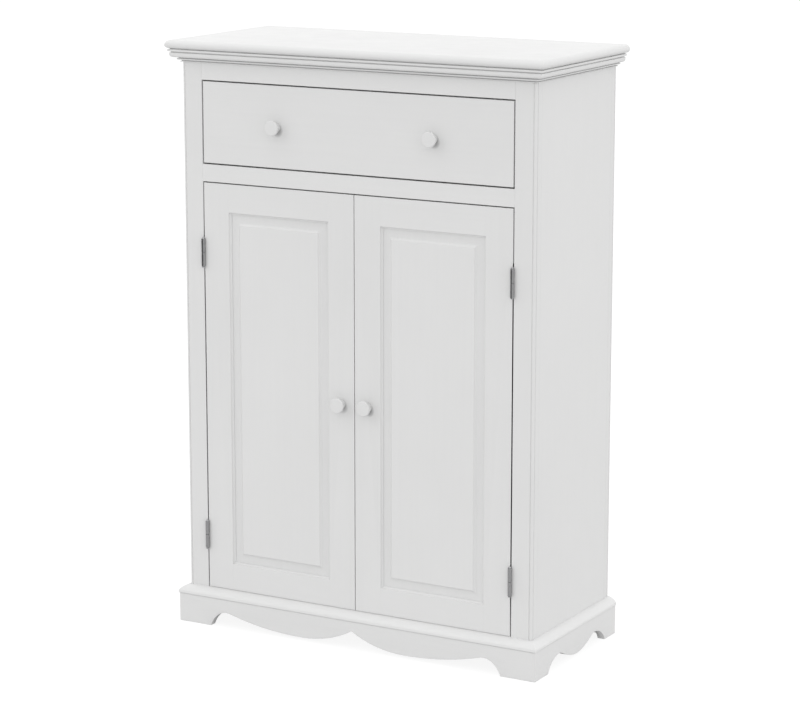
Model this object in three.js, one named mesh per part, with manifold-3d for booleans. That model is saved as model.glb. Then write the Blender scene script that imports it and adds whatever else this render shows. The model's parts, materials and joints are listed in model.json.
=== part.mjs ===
// A white painted storage cabinet: one wide drawer over a pair of raised-panel doors, under a
// moulded cornice and top board, on a scalloped plinth with bracket feet.
// Millimetres, +Z up. The origin is on the floor under the middle of the cabinet, the front faces -Y.
import * as THREE from "three";
import { mergeVertices } from "three/addons/utils/BufferGeometryUtils.js";
import Module from "manifold-3d";

// ---- driving dimensions ----
const WIDTH = 600; // over the top board
const HEIGHT = 854;
const CASE_WIDTH = 562;
const CASE_DEPTH = 246;
const TOP_OVERHANG = (WIDTH - CASE_WIDTH) / 2;
const TOP_REAR_OVERHANG = 2;
const TOP_THICKNESS = 12;
const NOSE_UPPER_RADIUS = 7;
const NOSE_LOWER_RADIUS = 5;

const STILE_WIDTH = 32; // front stiles and rear posts
const STILE_THICKNESS = 16;
const CORNER_RADIUS = 4.5; // eased outer corners of the stiles and posts
const SIDE_THICKNESS = 12;
const BACK_THICKNESS = 4.5;
const REBATE_WIDTH = 10;
const BOARD_THICKNESS = 14; // bottom, divider and shelf

const UPRIGHTS_FOOT = 29; // the uprights stop here, behind the plinth boards
const BOTTOM_TOP = 55;
const DOOR_BOTTOM = 57;
const DOOR_TOP = 652.5;
const MIDDLE_RAIL_BOTTOM = 654.5;
const MIDDLE_RAIL_TOP = 679.25;
const DIVIDER_TOP = 676;
const DRAWER_FRONT_BOTTOM = 681.25;
const DRAWER_FRONT_TOP = 797;
const TOP_RAIL_BOTTOM = 799;
const CORNICE_BOTTOM = 824.5;
const SHELF_BOTTOM = 340;

const EDGE_GAP = 2; // around doors and drawer front
const CENTRE_GAP = 1.5; // between the doors
const MITRE_GAP = 0.125;

const PLINTH_THICKNESS = 11.5;
const PLINTH_HEIGHT = 42.5;
const CAP_TOP = 52.25;
const CAP_PROJECTION = 12.75;

const DOOR_THICKNESS = 16;
const DOOR_STILE = 41;
const DOOR_TOP_RAIL = 40;
const DOOR_BOTTOM_RAIL = 38;
const STICKING = 3; // bevel round the inner edge of the door frame
const PANEL_MARGIN = 17.25; // frame edge to raised field
const FIELD_DEPTH = 1; // field behind the frame's face
const COVE_WIDTH = 13;
const GROOVE_FRONT = 6.5;
const GROOVE_BACK = 12;
const GROOVE_DEPTH = 5.5;
const GROOVE_PLAY = 0.25;

const HINGE_HEIGHT = 42; // without its end caps
const HINGE_CENTRES = { top: 552, bottom: 135 };
const HINGE_AXIS_X = 248; // in the middle of the gap beside each door
const HINGE_AXIS_Y = -3; // in front of the door's face
const KNUCKLE_RADIUS = 2.75;
const PIN_RADIUS = 1.25;
const PIN_CLEARANCE = 0.25;
const CAP_RADIUS = 2.25;
const CAP_LENGTH = 2.75;
const LEAF_DEPTH = 15; // back from the door's face
const LEAF_INSET = 0.25; // each leaf stands this far off the middle of the gap
const MORTISE_DEPTH = 0.75; // let into the door's edge round its leaf
const MORTISE_OVERRUN = 3.5; // above and below the leaf

const KNOB_RADIUS = 10.5;
const KNOB_LENGTH = 15;
const DRAWER_KNOB_X = 125;
const DRAWER_KNOB_Z = 739;
const DOOR_KNOB_X = 21.25;
const DOOR_KNOB_Z = 355;

const DRAWER_SIDE_THICKNESS = 11;
const DRAWER_SIDE_X = 247; // outer face of the drawer side
const DRAWER_SIDE_BOTTOM = 685;
const DRAWER_SIDE_TOP = 780;
const DRAWER_BACK_Y = 221;
const DRAWER_GROOVE_BOTTOM = 692;
const DRAWER_BOTTOM_THICKNESS = 4;
const DRAWER_GROOVE_DEPTH = 4;

const OPENING_HALF = CASE_WIDTH / 2 - STILE_WIDTH;
const CASE_HALF = CASE_WIDTH / 2;
const INNER_HALF = CASE_HALF - SIDE_THICKNESS;
const TOP_UNDERSIDE = HEIGHT - TOP_THICKNESS;
const POST_FRONT = CASE_DEPTH - STILE_THICKNESS;
const REBATE_Y = CASE_DEPTH - 5;

// ---- finishes ----
const finish = (color, roughness, metalness = 0) => () =>
  new THREE.MeshStandardMaterial({ color, roughness, metalness });
const whitePaint = finish(0xf1f1f0, 0.42);
const insidePaint = finish(0xececea, 0.55);
const hardboard = finish(0xe9e8e4, 0.7);
const steel = finish(0xb9bbbd, 0.32, 1);
const magnetBody = finish(0xe4e4e2, 0.5);

// ---- solids ----
const wasm = await Module();
wasm.setup();

function toSolid(geometry) {
  const bare = geometry.index ? geometry.toNonIndexed() : geometry.clone();
  bare.deleteAttribute("normal");
  bare.deleteAttribute("uv");
  const merged = mergeVertices(bare, 1e-4);
  return new wasm.Manifold(
    new wasm.Mesh({
      numProp: 3,
      vertProperties: new Float32Array(merged.attributes.position.array),
      triVerts: new Uint32Array(merged.index.array),
    }),
  );
}

function toGeometry(solid) {
  const mesh = solid.getMesh();
  const geometry = new THREE.BufferGeometry();
  geometry.setAttribute("position", new THREE.BufferAttribute(mesh.vertProperties, 3));
  geometry.setIndex(new THREE.BufferAttribute(mesh.triVerts, 1));
  geometry.computeVertexNormals();
  return geometry;
}

const X = new THREE.Vector3(1, 0, 0);
const Y = new THREE.Vector3(0, 1, 0);
const Z = new THREE.Vector3(0, 0, 1);
const ALONG = {
  x: new THREE.Matrix4().makeBasis(Y, Z, X), // outline in (y, z)
  y: new THREE.Matrix4().makeBasis(Z, X, Y), // outline in (z, x)
  z: new THREE.Matrix4(), // outline in (x, y)
};

function prism(axis, outline, from, to, curveSegments = 12) {
  const geometry = new THREE.ExtrudeGeometry(outline, {
    depth: to - from,
    bevelEnabled: false,
    curveSegments,
  });
  geometry.translate(0, 0, from);
  geometry.applyMatrix4(ALONG[axis]);
  return toSolid(geometry);
}

function outlineOf(points) {
  return new THREE.Shape(points.map(([u, v]) => new THREE.Vector2(u, v)));
}

function block([x0, x1], [y0, y1], [z0, z1]) {
  const geometry = new THREE.BoxGeometry(x1 - x0, y1 - y0, z1 - z0);
  geometry.translate((x0 + x1) / 2, (y0 + y1) / 2, (z0 + z1) / 2);
  return toSolid(geometry);
}

function turned(points, segments) {
  return new THREE.LatheGeometry(
    points.map(([r, h]) => new THREE.Vector2(r, h)),
    segments,
  );
}

// Points of a quarter ellipse from angle a to b, for profiles.
function arc(cu, cv, ru, rv, a, b, steps) {
  const points = [];
  for (let i = 0; i <= steps; i++) {
    const t = a + ((b - a) * i) / steps;
    points.push([cu + ru * Math.cos(t), cv + rv * Math.sin(t)]);
  }
  return points;
}

const mirrored = (range, side) => (side > 0 ? range : [-range[1], -range[0]]);

function addMesh(group, name, solid, material) {
  const geometry = solid.isBufferGeometry ? solid : toGeometry(solid);
  const mesh = new THREE.Mesh(geometry, material());
  mesh.name = name;
  group.add(mesh);
  return mesh;
}

const SIDES = { left: -1, right: 1 };

// The cabinet group's own y runs back from the front face of the stiles.
const cabinet = new THREE.Group();
cabinet.position.y = TOP_OVERHANG - (TOP_OVERHANG + CASE_DEPTH + TOP_REAR_OVERHANG) / 2;

// ---- top board: a nose on the front and both ends, made where two profiles cross ----
function nose(edge, outward) {
  const upper = edge - outward * NOSE_UPPER_RADIUS;
  const lower = edge - outward * NOSE_LOWER_RADIUS;
  const waist = HEIGHT - NOSE_UPPER_RADIUS;
  const quarter = Math.PI / 2;
  return [
    ...arc(lower, waist, outward * NOSE_LOWER_RADIUS, NOSE_LOWER_RADIUS, -quarter, 0, 4),
    ...arc(upper, waist, outward * NOSE_UPPER_RADIUS, NOSE_UPPER_RADIUS, 0, quarter, 6).slice(1),
  ];
}

function topPanel() {
  const rear = CASE_DEPTH + TOP_REAR_OVERHANG;
  const across = outlineOf([...nose(-TOP_OVERHANG, -1), [rear, HEIGHT], [rear, TOP_UNDERSIDE]]);
  const ends = [...nose(WIDTH / 2, 1), ...nose(-WIDTH / 2, -1).reverse()].map(([x, z]) => [z, x]);
  return prism("x", across, -WIDTH / 2, WIDTH / 2).intersect(
    prism("y", outlineOf(ends), -TOP_OVERHANG, rear),
  );
}

// ---- mouldings that run round the front and both sides, mitred at the front corners ----
// The plan area that each length of moulding may fill, out to a given reach.
function mitreArea(place, reach) {
  const g = MITRE_GAP;
  if (place === "front") {
    return outlineOf([
      [-CASE_HALF + g, 0],
      [-CASE_HALF - reach + g, -reach],
      [CASE_HALF + reach - g, -reach],
      [CASE_HALF - g, 0],
    ]);
  }
  const side = SIDES[place];
  return outlineOf([
    [side * CASE_HALF, g],
    [side * (CASE_HALF + reach), -reach + g],
    [side * (CASE_HALF + reach), CASE_DEPTH],
    [side * CASE_HALF, CASE_DEPTH],
  ]);
}

// A profile is a list of [projection from the case, height].
function moulding(place, profile, reach) {
  const heights = profile.map(([, z]) => z);
  const area = prism("z", mitreArea(place, reach), Math.min(...heights), Math.max(...heights));
  if (place === "front") {
    const outline = outlineOf(profile.map(([out, z]) => [-out, z]));
    return prism("x", outline, -CASE_HALF - reach, CASE_HALF + reach).intersect(area);
  }
  const side = SIDES[place];
  const outline = outlineOf(profile.map(([out, z]) => [z, side * (CASE_HALF + out)]));
  return prism("y", outline, -reach, CASE_DEPTH).intersect(area);
}

const CORNICE_PROFILE = [
  [0, TOP_UNDERSIDE],
  [14.25, TOP_UNDERSIDE],
  [15.25, TOP_UNDERSIDE - 0.5],
  [15.25, TOP_UNDERSIDE - 3.75],
  [12.25, TOP_UNDERSIDE - 4.5], // quirk under the fillet
  [13.25, TOP_UNDERSIDE - 5.5],
  ...arc(8, TOP_UNDERSIDE - 8.5, 5.25, 4.25, 0, -Math.PI / 2, 5), // ovolo
  [5, TOP_UNDERSIDE - 13.25],
  ...arc(2.75, TOP_UNDERSIDE - 14.75, 3.25, 2.5, 0.2, -1.3, 4), // lowest bead
  [0, CORNICE_BOTTOM],
];
const CORNICE_REACH = 15.5;

const CAP_PROFILE = [
  [0, PLINTH_HEIGHT],
  [CAP_PROJECTION, PLINTH_HEIGHT],
  ...arc(1.25, 46.5, 11.5, 5.75, 0, Math.PI / 2, 7),
  [0, CAP_TOP],
];
const CAP_REACH = 13;

// ---- plinth boards: bracket feet and a scalloped lower edge ----
// Half of the lower edge, from the middle out to the foot, as cubic curves. Each key is
// [distance from the middle, height, slope]; rounding is how far the last slope carries on over the
// arch, as a share of what is left to the foot.
const FOOT_HANDLE = { back: 3.25, up: 12.25 }; // how steeply the arch comes down on the foot
const CURVE_STEPS = 8;

function scallop(keys, foot, rounding) {
  const edge = [[keys[0][0], keys[0][1]]];
  const add = (...handles) => {
    const curve = new THREE.CubicBezierCurve(...handles.map(([u, z]) => new THREE.Vector2(u, z)));
    edge.push(...curve.getPoints(CURVE_STEPS).slice(1).map((p) => [p.x, p.y]));
  };
  for (let i = 1; i < keys.length; i++) {
    const [u0, z0, slope0] = keys[i - 1];
    const [u1, z1, slope1] = keys[i];
    const third = (u1 - u0) / 3;
    add([u0, z0], [u0 + third, z0 + slope0 * third], [u1 - third, z1 - slope1 * third], [u1, z1]);
  }
  const [u, z, slope] = keys[keys.length - 1];
  const over = (foot - u) * rounding;
  add([u, z], [u + over, z + slope * over], [foot - FOOT_HANDLE.back, FOOT_HANDLE.up], [foot, 0]);
  return edge;
}

const FRONT_EDGE = scallop(
  [
    [0, 27.75, -0.58], // the point in the middle
    [86, 5.5, 0],
    [205, 21.5, 0.28],
  ],
  238.5,
  0.5,
);
const SIDE_EDGE = scallop(
  [
    [0, 5, 0],
    [48, 18.75, 0.48],
  ],
  91,
  0.35,
);
const SIDE_EDGE_CENTRE = 121;

const PLINTH_HALF = CASE_HALF + PLINTH_THICKNESS;

// The board's outline: its lower edge runs from one foot to the other, mirrored about the centre.
function boardOutline(centre, edge, start, end) {
  const right = edge.map(([u, z]) => [centre + u, z]);
  const left = edge.slice(1).map(([u, z]) => [centre - u, z]).reverse();
  return [[start, 0], ...left, ...right, [end, 0], [end, PLINTH_HEIGHT], [start, PLINTH_HEIGHT]];
}

function plinthFront() {
  const outline = boardOutline(0, FRONT_EDGE, -PLINTH_HALF, PLINTH_HALF).map(([x, z]) => [z, x]);
  const board = prism("y", outlineOf(outline), -PLINTH_THICKNESS, 0);
  return board.intersect(
    prism("z", mitreArea("front", PLINTH_THICKNESS), 0, PLINTH_HEIGHT),
  );
}

function plinthSide(place) {
  const side = SIDES[place];
  const outline = outlineOf(boardOutline(SIDE_EDGE_CENTRE, SIDE_EDGE, -PLINTH_THICKNESS, CASE_DEPTH));
  const [from, to] = mirrored([CASE_HALF, PLINTH_HALF], side);
  const area = prism("z", mitreArea(place, PLINTH_THICKNESS), 0, PLINTH_HEIGHT);
  return prism("x", outline, from, to).intersect(area);
}

// The rear board stands under the posts, with plain feet.
function plinthBack() {
  const foot = 40;
  const rise = 15;
  const top = UPRIGHTS_FOOT;
  const outline = [
    [-CASE_HALF, 0],
    [-CASE_HALF + foot, 0],
    [-CASE_HALF + foot + rise, rise],
    [CASE_HALF - foot - rise, rise],
    [CASE_HALF - foot, 0],
    [CASE_HALF, 0],
    [CASE_HALF, top],
    [-CASE_HALF, top],
  ].map(([x, z]) => [z, x]);
  return prism("y", outlineOf(outline), CASE_DEPTH - PLINTH_THICKNESS, CASE_DEPTH);
}

// ---- uprights ----
// Plan of a stile: its outer front corner is rounded. The outline is given for the right side.
function stile(side) {
  const x = CASE_HALF - CORNER_RADIUS;
  const corner = arc(x, CORNER_RADIUS, CORNER_RADIUS, CORNER_RADIUS, -Math.PI / 2, 0, 5);
  const plan = [[OPENING_HALF, 0], ...corner, [CASE_HALF, STILE_THICKNESS], [OPENING_HALF, STILE_THICKNESS]];
  return prism("z", outlineOf(plan.map(([px, py]) => [side * px, py])), UPRIGHTS_FOOT, TOP_UNDERSIDE);
}

function post(side) {
  const x = CASE_HALF - CORNER_RADIUS;
  const y = CASE_DEPTH - CORNER_RADIUS;
  const corner = arc(x, y, CORNER_RADIUS, CORNER_RADIUS, 0, Math.PI / 2, 5);
  const rebate = OPENING_HALF + REBATE_WIDTH;
  const plan = [
    [OPENING_HALF, POST_FRONT],
    [CASE_HALF, POST_FRONT],
    ...corner,
    [rebate, CASE_DEPTH],
    [rebate, REBATE_Y],
    [OPENING_HALF, REBATE_Y],
  ];
  return prism("z", outlineOf(plan.map(([px, py]) => [side * px, py])), UPRIGHTS_FOOT, TOP_UNDERSIDE);
}

const PIN_HOLES_Y = { front: 60, rear: 200 };
const PIN_Z = 337.25;
const PIN_HOLE_PITCH = 64;
const PIN_HOLE_RADIUS = 2.75;
const PIN_HOLE_DEPTH = 8.5;

function sidePanel(side) {
  const panel = block(
    mirrored([INNER_HALF, CASE_HALF], side),
    [STILE_THICKNESS, POST_FRONT],
    [UPRIGHTS_FOOT, TOP_UNDERSIDE],
  );
  const holes = [];
  for (const y of Object.values(PIN_HOLES_Y)) {
    for (const step of [-1, 0, 1]) {
      const hole = new THREE.CylinderGeometry(PIN_HOLE_RADIUS, PIN_HOLE_RADIUS, 2 * PIN_HOLE_DEPTH, 12);
      hole.rotateZ(Math.PI / 2);
      hole.translate(side * INNER_HALF, y, PIN_Z + step * PIN_HOLE_PITCH);
      holes.push(toSolid(hole));
    }
  }
  return holes.reduce((body, hole) => body.subtract(hole), panel);
}

// A board between the side panels, let in between the rear posts and, if asked, the front stiles.
function fittedBoard(top, reachesFront) {
  const front = reachesFront ? [[-OPENING_HALF, 0], [OPENING_HALF, 0]] : [];
  const plan = [
    ...front,
    ...(reachesFront ? [[OPENING_HALF, STILE_THICKNESS]] : []),
    [INNER_HALF, STILE_THICKNESS],
    [INNER_HALF, POST_FRONT],
    [OPENING_HALF, POST_FRONT],
    [OPENING_HALF, REBATE_Y],
    [-OPENING_HALF, REBATE_Y],
    [-OPENING_HALF, POST_FRONT],
    [-INNER_HALF, POST_FRONT],
    [-INNER_HALF, STILE_THICKNESS],
    ...(reachesFront ? [[-OPENING_HALF, STILE_THICKNESS]] : []),
  ];
  return prism("z", outlineOf(plan), top - BOARD_THICKNESS, top);
}

function shelfPin() {
  const shank = 2.5;
  const collar = 4;
  return turned(
    [
      [0, -8],
      [shank, -8],
      [shank, 0.25],
      [collar, 0.25],
      [collar, 1.5],
      [shank, 1.5],
      [shank, 7.5],
      [shank - 0.75, 8.25],
      [0, 8.25],
    ],
    12,
  );
}

// ---- drawer runner: an L-shaped bar, the drawer side rides on its ledge ----
const RUNNER_TOP = 712;
const RUNNER_LEDGE_TOP = 684.5;
const RUNNER_LEDGE_X = 237;
const RUNNER_WALL_X = 248;

function drawerRunner(side) {
  const outline = [
    [DIVIDER_TOP, RUNNER_LEDGE_X],
    [RUNNER_LEDGE_TOP, RUNNER_LEDGE_X],
    [RUNNER_LEDGE_TOP, RUNNER_WALL_X],
    [RUNNER_TOP, RUNNER_WALL_X],
    [RUNNER_TOP, INNER_HALF],
    [DIVIDER_TOP, INNER_HALF],
  ].map(([z, x]) => [z, side * x]);
  return prism("y", outlineOf(outline), STILE_THICKNESS + EDGE_GAP, POST_FRONT - 1);
}

// ---- double magnetic catch under the divider, and its steel plates on the doors ----
function magneticCatch() {
  const front = DOOR_THICKNESS + 1.75;
  const body = block([-25, 25], [front, 34], [DIVIDER_TOP - BOARD_THICKNESS - 24, DIVIDER_TOP - BOARD_THICKNESS]);
  const waist = block([-3, 3], [front - 1, front + 6], [630, 655]);
  return body.subtract(waist);
}

// ---- carcass ----
addMesh(cabinet, "top_panel", topPanel(), whitePaint);
for (const place of ["front", "left", "right"]) {
  addMesh(cabinet, `cornice_${place}`, moulding(place, CORNICE_PROFILE, CORNICE_REACH), whitePaint);
  addMesh(cabinet, `plinth_cap_${place}`, moulding(place, CAP_PROFILE, CAP_REACH), whitePaint);
}
addMesh(cabinet, "plinth_front", plinthFront(), whitePaint);
addMesh(cabinet, "plinth_left", plinthSide("left"), whitePaint);
addMesh(cabinet, "plinth_right", plinthSide("right"), whitePaint);
addMesh(cabinet, "plinth_back", plinthBack(), whitePaint);

for (const [name, side] of Object.entries(SIDES)) {
  addMesh(cabinet, `front_stile_${name}`, stile(side), whitePaint);
  addMesh(cabinet, `rear_post_${name}`, post(side), whitePaint);
  addMesh(cabinet, `side_panel_${name}`, sidePanel(side), whitePaint);
  addMesh(cabinet, `drawer_runner_${name}`, drawerRunner(side), insidePaint);
  for (const [end, y] of Object.entries(PIN_HOLES_Y)) {
    const pin = addMesh(cabinet, `shelf_pin_${name}_${end}`, shelfPin(), steel);
    pin.rotation.z = (side * Math.PI) / 2;
    pin.position.set(side * INNER_HALF, y, PIN_Z);
  }
}

const RAIL_DEPTH = [0, STILE_THICKNESS];
const RAIL_LENGTH = [-OPENING_HALF, OPENING_HALF];
addMesh(cabinet, "top_rail", block(RAIL_LENGTH, RAIL_DEPTH, [TOP_RAIL_BOTTOM, TOP_UNDERSIDE]), whitePaint);
addMesh(
  cabinet,
  "middle_rail",
  block(RAIL_LENGTH, RAIL_DEPTH, [MIDDLE_RAIL_BOTTOM, MIDDLE_RAIL_TOP]),
  whitePaint,
);
addMesh(cabinet, "bottom_panel", fittedBoard(BOTTOM_TOP, true), insidePaint);
addMesh(cabinet, "divider_panel", fittedBoard(DIVIDER_TOP, false), insidePaint);
const BACK_HALF = OPENING_HALF + REBATE_WIDTH - 0.5;
addMesh(
  cabinet,
  "back_panel",
  block([-BACK_HALF, BACK_HALF], [REBATE_Y, REBATE_Y + BACK_THICKNESS], [BOTTOM_TOP - BOARD_THICKNESS, 838]),
  hardboard,
);
const SHELF_HALF = INNER_HALF - 2;
addMesh(
  cabinet,
  "shelf",
  block([-SHELF_HALF, SHELF_HALF], [28, POST_FRONT - 1], [SHELF_BOTTOM, SHELF_BOTTOM + BOARD_THICKNESS]),
  insidePaint,
);
addMesh(cabinet, "magnetic_catch", magneticCatch(), magnetBody);

// ---- knob: a turned knob with a flat face, a hollowed back and a narrow neck, axis along -Y ----
function knob() {
  const foot = 7;
  const neck = 4.75;
  const rim = 1.5;
  const quarter = Math.PI / 2;
  const r = KNOB_RADIUS;
  return turned(
    [
      [0, 0],
      [foot, 0],
      [foot, 1],
      [neck, 2.25],
      [neck, 5.5],
      ...arc(r - 0.25, 5.5, 0.25 - r + neck, 4.5, 0, quarter, 5).slice(1), // hollow behind the head
      [r, 11.25],
      ...arc(r - rim, KNOB_LENGTH - rim, rim, rim, 0, quarter, 4),
      [0, KNOB_LENGTH],
    ],
    28,
  );
}

function addKnob(group, name, x, y, z) {
  const mesh = addMesh(group, name, knob(), whitePaint);
  mesh.rotation.x = Math.PI;
  mesh.position.set(x, y - 0.125, z);
}

// ---- drawer: y runs back from the front face when shut ----
const drawer = new THREE.Group();
cabinet.add(drawer);
const DRAWER_FRONT_HALF = OPENING_HALF - EDGE_GAP;
const DRAWER_INNER = DRAWER_SIDE_X - DRAWER_SIDE_THICKNESS;
const GROOVE_TOP = DRAWER_GROOVE_BOTTOM + DRAWER_BOTTOM_THICKNESS + 0.5;
const GROOVE_HALF = DRAWER_INNER + DRAWER_GROOVE_DEPTH;
const bottomGroove = block(
  [-GROOVE_HALF, GROOVE_HALF],
  [STILE_THICKNESS - DRAWER_GROOVE_DEPTH, DRAWER_BACK_Y + 1],
  [DRAWER_GROOVE_BOTTOM, GROOVE_TOP],
);
addMesh(
  drawer,
  "drawer_front",
  block(
    [-DRAWER_FRONT_HALF, DRAWER_FRONT_HALF],
    [0, STILE_THICKNESS],
    [DRAWER_FRONT_BOTTOM, DRAWER_FRONT_TOP],
  ).subtract(bottomGroove),
  whitePaint,
);
for (const [name, side] of Object.entries(SIDES)) {
  const board = block(
    mirrored([DRAWER_INNER, DRAWER_SIDE_X], side),
    [STILE_THICKNESS, DRAWER_BACK_Y],
    [DRAWER_SIDE_BOTTOM, DRAWER_SIDE_TOP],
  );
  addMesh(drawer, `drawer_side_${name}`, board.subtract(bottomGroove), insidePaint);
  addKnob(drawer, `drawer_knob_${name}`, side * DRAWER_KNOB_X, 0, DRAWER_KNOB_Z);
}
addMesh(
  drawer,
  "drawer_back",
  block(
    [-DRAWER_INNER, DRAWER_INNER],
    [DRAWER_BACK_Y - DRAWER_SIDE_THICKNESS, DRAWER_BACK_Y],
    [GROOVE_TOP, DRAWER_SIDE_TOP],
  ),
  insidePaint,
);
addMesh(
  drawer,
  "drawer_bottom",
  block(
    [-GROOVE_HALF + 0.25, GROOVE_HALF - 0.25],
    [STILE_THICKNESS - DRAWER_GROOVE_DEPTH + 0.25, DRAWER_BACK_Y],
    [DRAWER_GROOVE_BOTTOM + 0.25, DRAWER_GROOVE_BOTTOM + 0.25 + DRAWER_BOTTOM_THICKNESS],
  ),
  hardboard,
);

// ---- doors ----
// Both doors are worked out for the right-hand one, x from the lock stile out to the hinge stile,
// and carried over to the left by the sign of side.
const DOOR = {
  lock: CENTRE_GAP / 2,
  hinge: OPENING_HALF - EDGE_GAP,
  bottom: DOOR_BOTTOM,
  top: DOOR_TOP,
};
const SIGHT = {
  x: [DOOR.lock + DOOR_STILE, DOOR.hinge - DOOR_STILE],
  z: [DOOR.bottom + DOOR_BOTTOM_RAIL, DOOR.top - DOOR_TOP_RAIL],
};

// Half profiles of the hole in the door frame and of the raised panel: [inset from the frame's
// face edge, depth behind the face]. A full profile is the half and its mirror image.
const FRAME_HOLE = [
  [0, -1],
  [0, 0],
  [STICKING, STICKING],
  [STICKING, GROOVE_FRONT],
  [STICKING - GROOVE_DEPTH, GROOVE_FRONT],
  [STICKING - GROOVE_DEPTH, GROOVE_BACK],
  [STICKING, GROOVE_BACK],
  [STICKING, DOOR_THICKNESS + 1],
];
const PANEL_FRONT = GROOVE_FRONT + GROOVE_PLAY;
const PANEL_BACK = GROOVE_BACK - GROOVE_PLAY;
const PANEL_EDGE = STICKING - GROOVE_DEPTH + 2 * GROOVE_PLAY;
const RAISED_PANEL = [
  [PANEL_EDGE, PANEL_BACK],
  [PANEL_EDGE, PANEL_FRONT],
  ...arc(
    PANEL_MARGIN - COVE_WIDTH,
    FIELD_DEPTH + 0.5,
    COVE_WIDTH,
    PANEL_FRONT - FIELD_DEPTH - 0.5,
    Math.PI / 2,
    0,
    7,
  ),
  [PANEL_MARGIN, FIELD_DEPTH],
];

function crossed(half, side) {
  const full = ([a, b]) => [...half.map(([s, d]) => [a + s, d]), ...half.map(([s, d]) => [b - s, d]).reverse()];
  const x = full(SIGHT.x).map(([u, d]) => [side * u, d]);
  const z = full(SIGHT.z).map(([u, d]) => [d, u]);
  const [from, to] = mirrored([0, OPENING_HALF], side);
  return prism("z", outlineOf(x), 0, HEIGHT).intersect(prism("x", outlineOf(z), from, to));
}

function addDoor(name) {
  const side = SIDES[name];
  const door = new THREE.Group();
  cabinet.add(door);
  const hole = crossed(FRAME_HOLE, side);
  const member = (x, z) => block(mirrored(x, side), [0, DOOR_THICKNESS], z).subtract(hole);
  const tall = [DOOR.bottom, DOOR.top];
  const reach = HINGE_HEIGHT / 2 + MORTISE_OVERRUN;
  const mortise = (z) =>
    block(
      mirrored([DOOR.hinge - MORTISE_DEPTH, DOOR.hinge + 1], side),
      [-1, LEAF_DEPTH + 0.5],
      [z - reach, z + reach],
    );
  const parts = {
    hinge_stile: Object.values(HINGE_CENTRES).reduce(
      (body, z) => body.subtract(mortise(z)),
      member([SIGHT.x[1], DOOR.hinge], tall),
    ),
    lock_stile: member([DOOR.lock, SIGHT.x[0]], tall),
    top_rail: member(SIGHT.x, [SIGHT.z[1], DOOR.top]),
    bottom_rail: member(SIGHT.x, [DOOR.bottom, SIGHT.z[0]]),
    panel: crossed(RAISED_PANEL, side),
  };
  for (const [part, solid] of Object.entries(parts)) {
    addMesh(door, `${name}_door_${part}`, solid, whitePaint);
  }
  addKnob(door, `${name}_door_knob`, side * DOOR_KNOB_X, 0, DOOR_KNOB_Z);
  const plate = block(
    mirrored([5, 22], side),
    [DOOR_THICKNESS, DOOR_THICKNESS + 1],
    [DOOR_TOP - 13, DOOR_TOP - 1],
  );
  addMesh(door, `${name}_door_catch_plate`, plate, steel);
  return door;
}

// ---- lift-off hinges: the frame leaf has the lower knuckle with the pin, the door leaf has the
// upper knuckle, whose blind bore drops over the pin ----
// Worked out about the hinge axis: the leaves run back in +y from their knuckles.
function barrel(radius, z0, z1, segments = 20) {
  const cylinder = new THREE.CylinderGeometry(radius, radius, z1 - z0, segments);
  cylinder.rotateX(Math.PI / 2);
  cylinder.translate(0, 0, (z0 + z1) / 2);
  return toSolid(cylinder);
}

const PIN_SEGMENTS = 12;
const KNUCKLE_GAP = 0.25; // from the middle of the hinge to each knuckle
const BORE_END = 1.5; // solid metal left over the bore

function leafPlate(x, knuckle) {
  const clear = KNUCKLE_RADIUS + 0.5; // the plate passes the other leaf's knuckle
  const half = HINGE_HEIGHT / 2;
  const plate = block(x, [clear, LEAF_DEPTH - HINGE_AXIS_Y], [-half, half]);
  return plate.add(block(x, [0, clear + 0.25], knuckle)).add(barrel(KNUCKLE_RADIUS, ...knuckle));
}

// direction is the side of the axis, in x, on which the leaf lies.
function frameLeaf(direction) {
  const half = HINGE_HEIGHT / 2;
  const x = mirrored([LEAF_INSET, OPENING_HALF - HINGE_AXIS_X], direction);
  return leafPlate(x, [-half, -KNUCKLE_GAP])
    .add(barrel(PIN_RADIUS, -half, half - BORE_END - 1, PIN_SEGMENTS))
    .add(barrel(CAP_RADIUS, -half - CAP_LENGTH, -half, PIN_SEGMENTS));
}

function doorLeaf(direction) {
  const half = HINGE_HEIGHT / 2;
  const x = mirrored([LEAF_INSET, HINGE_AXIS_X - DOOR.hinge + MORTISE_DEPTH], direction);
  return leafPlate(x, [KNUCKLE_GAP, half])
    .subtract(barrel(PIN_RADIUS + PIN_CLEARANCE, -half, half - BORE_END, PIN_SEGMENTS))
    .add(barrel(CAP_RADIUS, half, half + CAP_LENGTH, PIN_SEGMENTS));
}

for (const [name, side] of Object.entries(SIDES)) {
  const door = addDoor(name);
  for (const [place, z] of Object.entries(HINGE_CENTRES)) {
    const frame = addMesh(cabinet, `${name}_${place}_hinge_frame_leaf`, frameLeaf(side), steel);
    const leaf = addMesh(door, `${name}_${place}_hinge_door_leaf`, doorLeaf(-side), steel);
    for (const mesh of [frame, leaf]) {
      mesh.position.set(side * HINGE_AXIS_X, HINGE_AXIS_Y, z);
    }
  }
}

const part = new THREE.Group();
part.add(cabinet);
export default part;
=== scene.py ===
"""A white painted storage cabinet: a wide drawer over a pair of raised-panel doors, under a
moulded cornice, on a scalloped plinth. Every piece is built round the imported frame, in metres,
with +Z up."""

import json
import math

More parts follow.
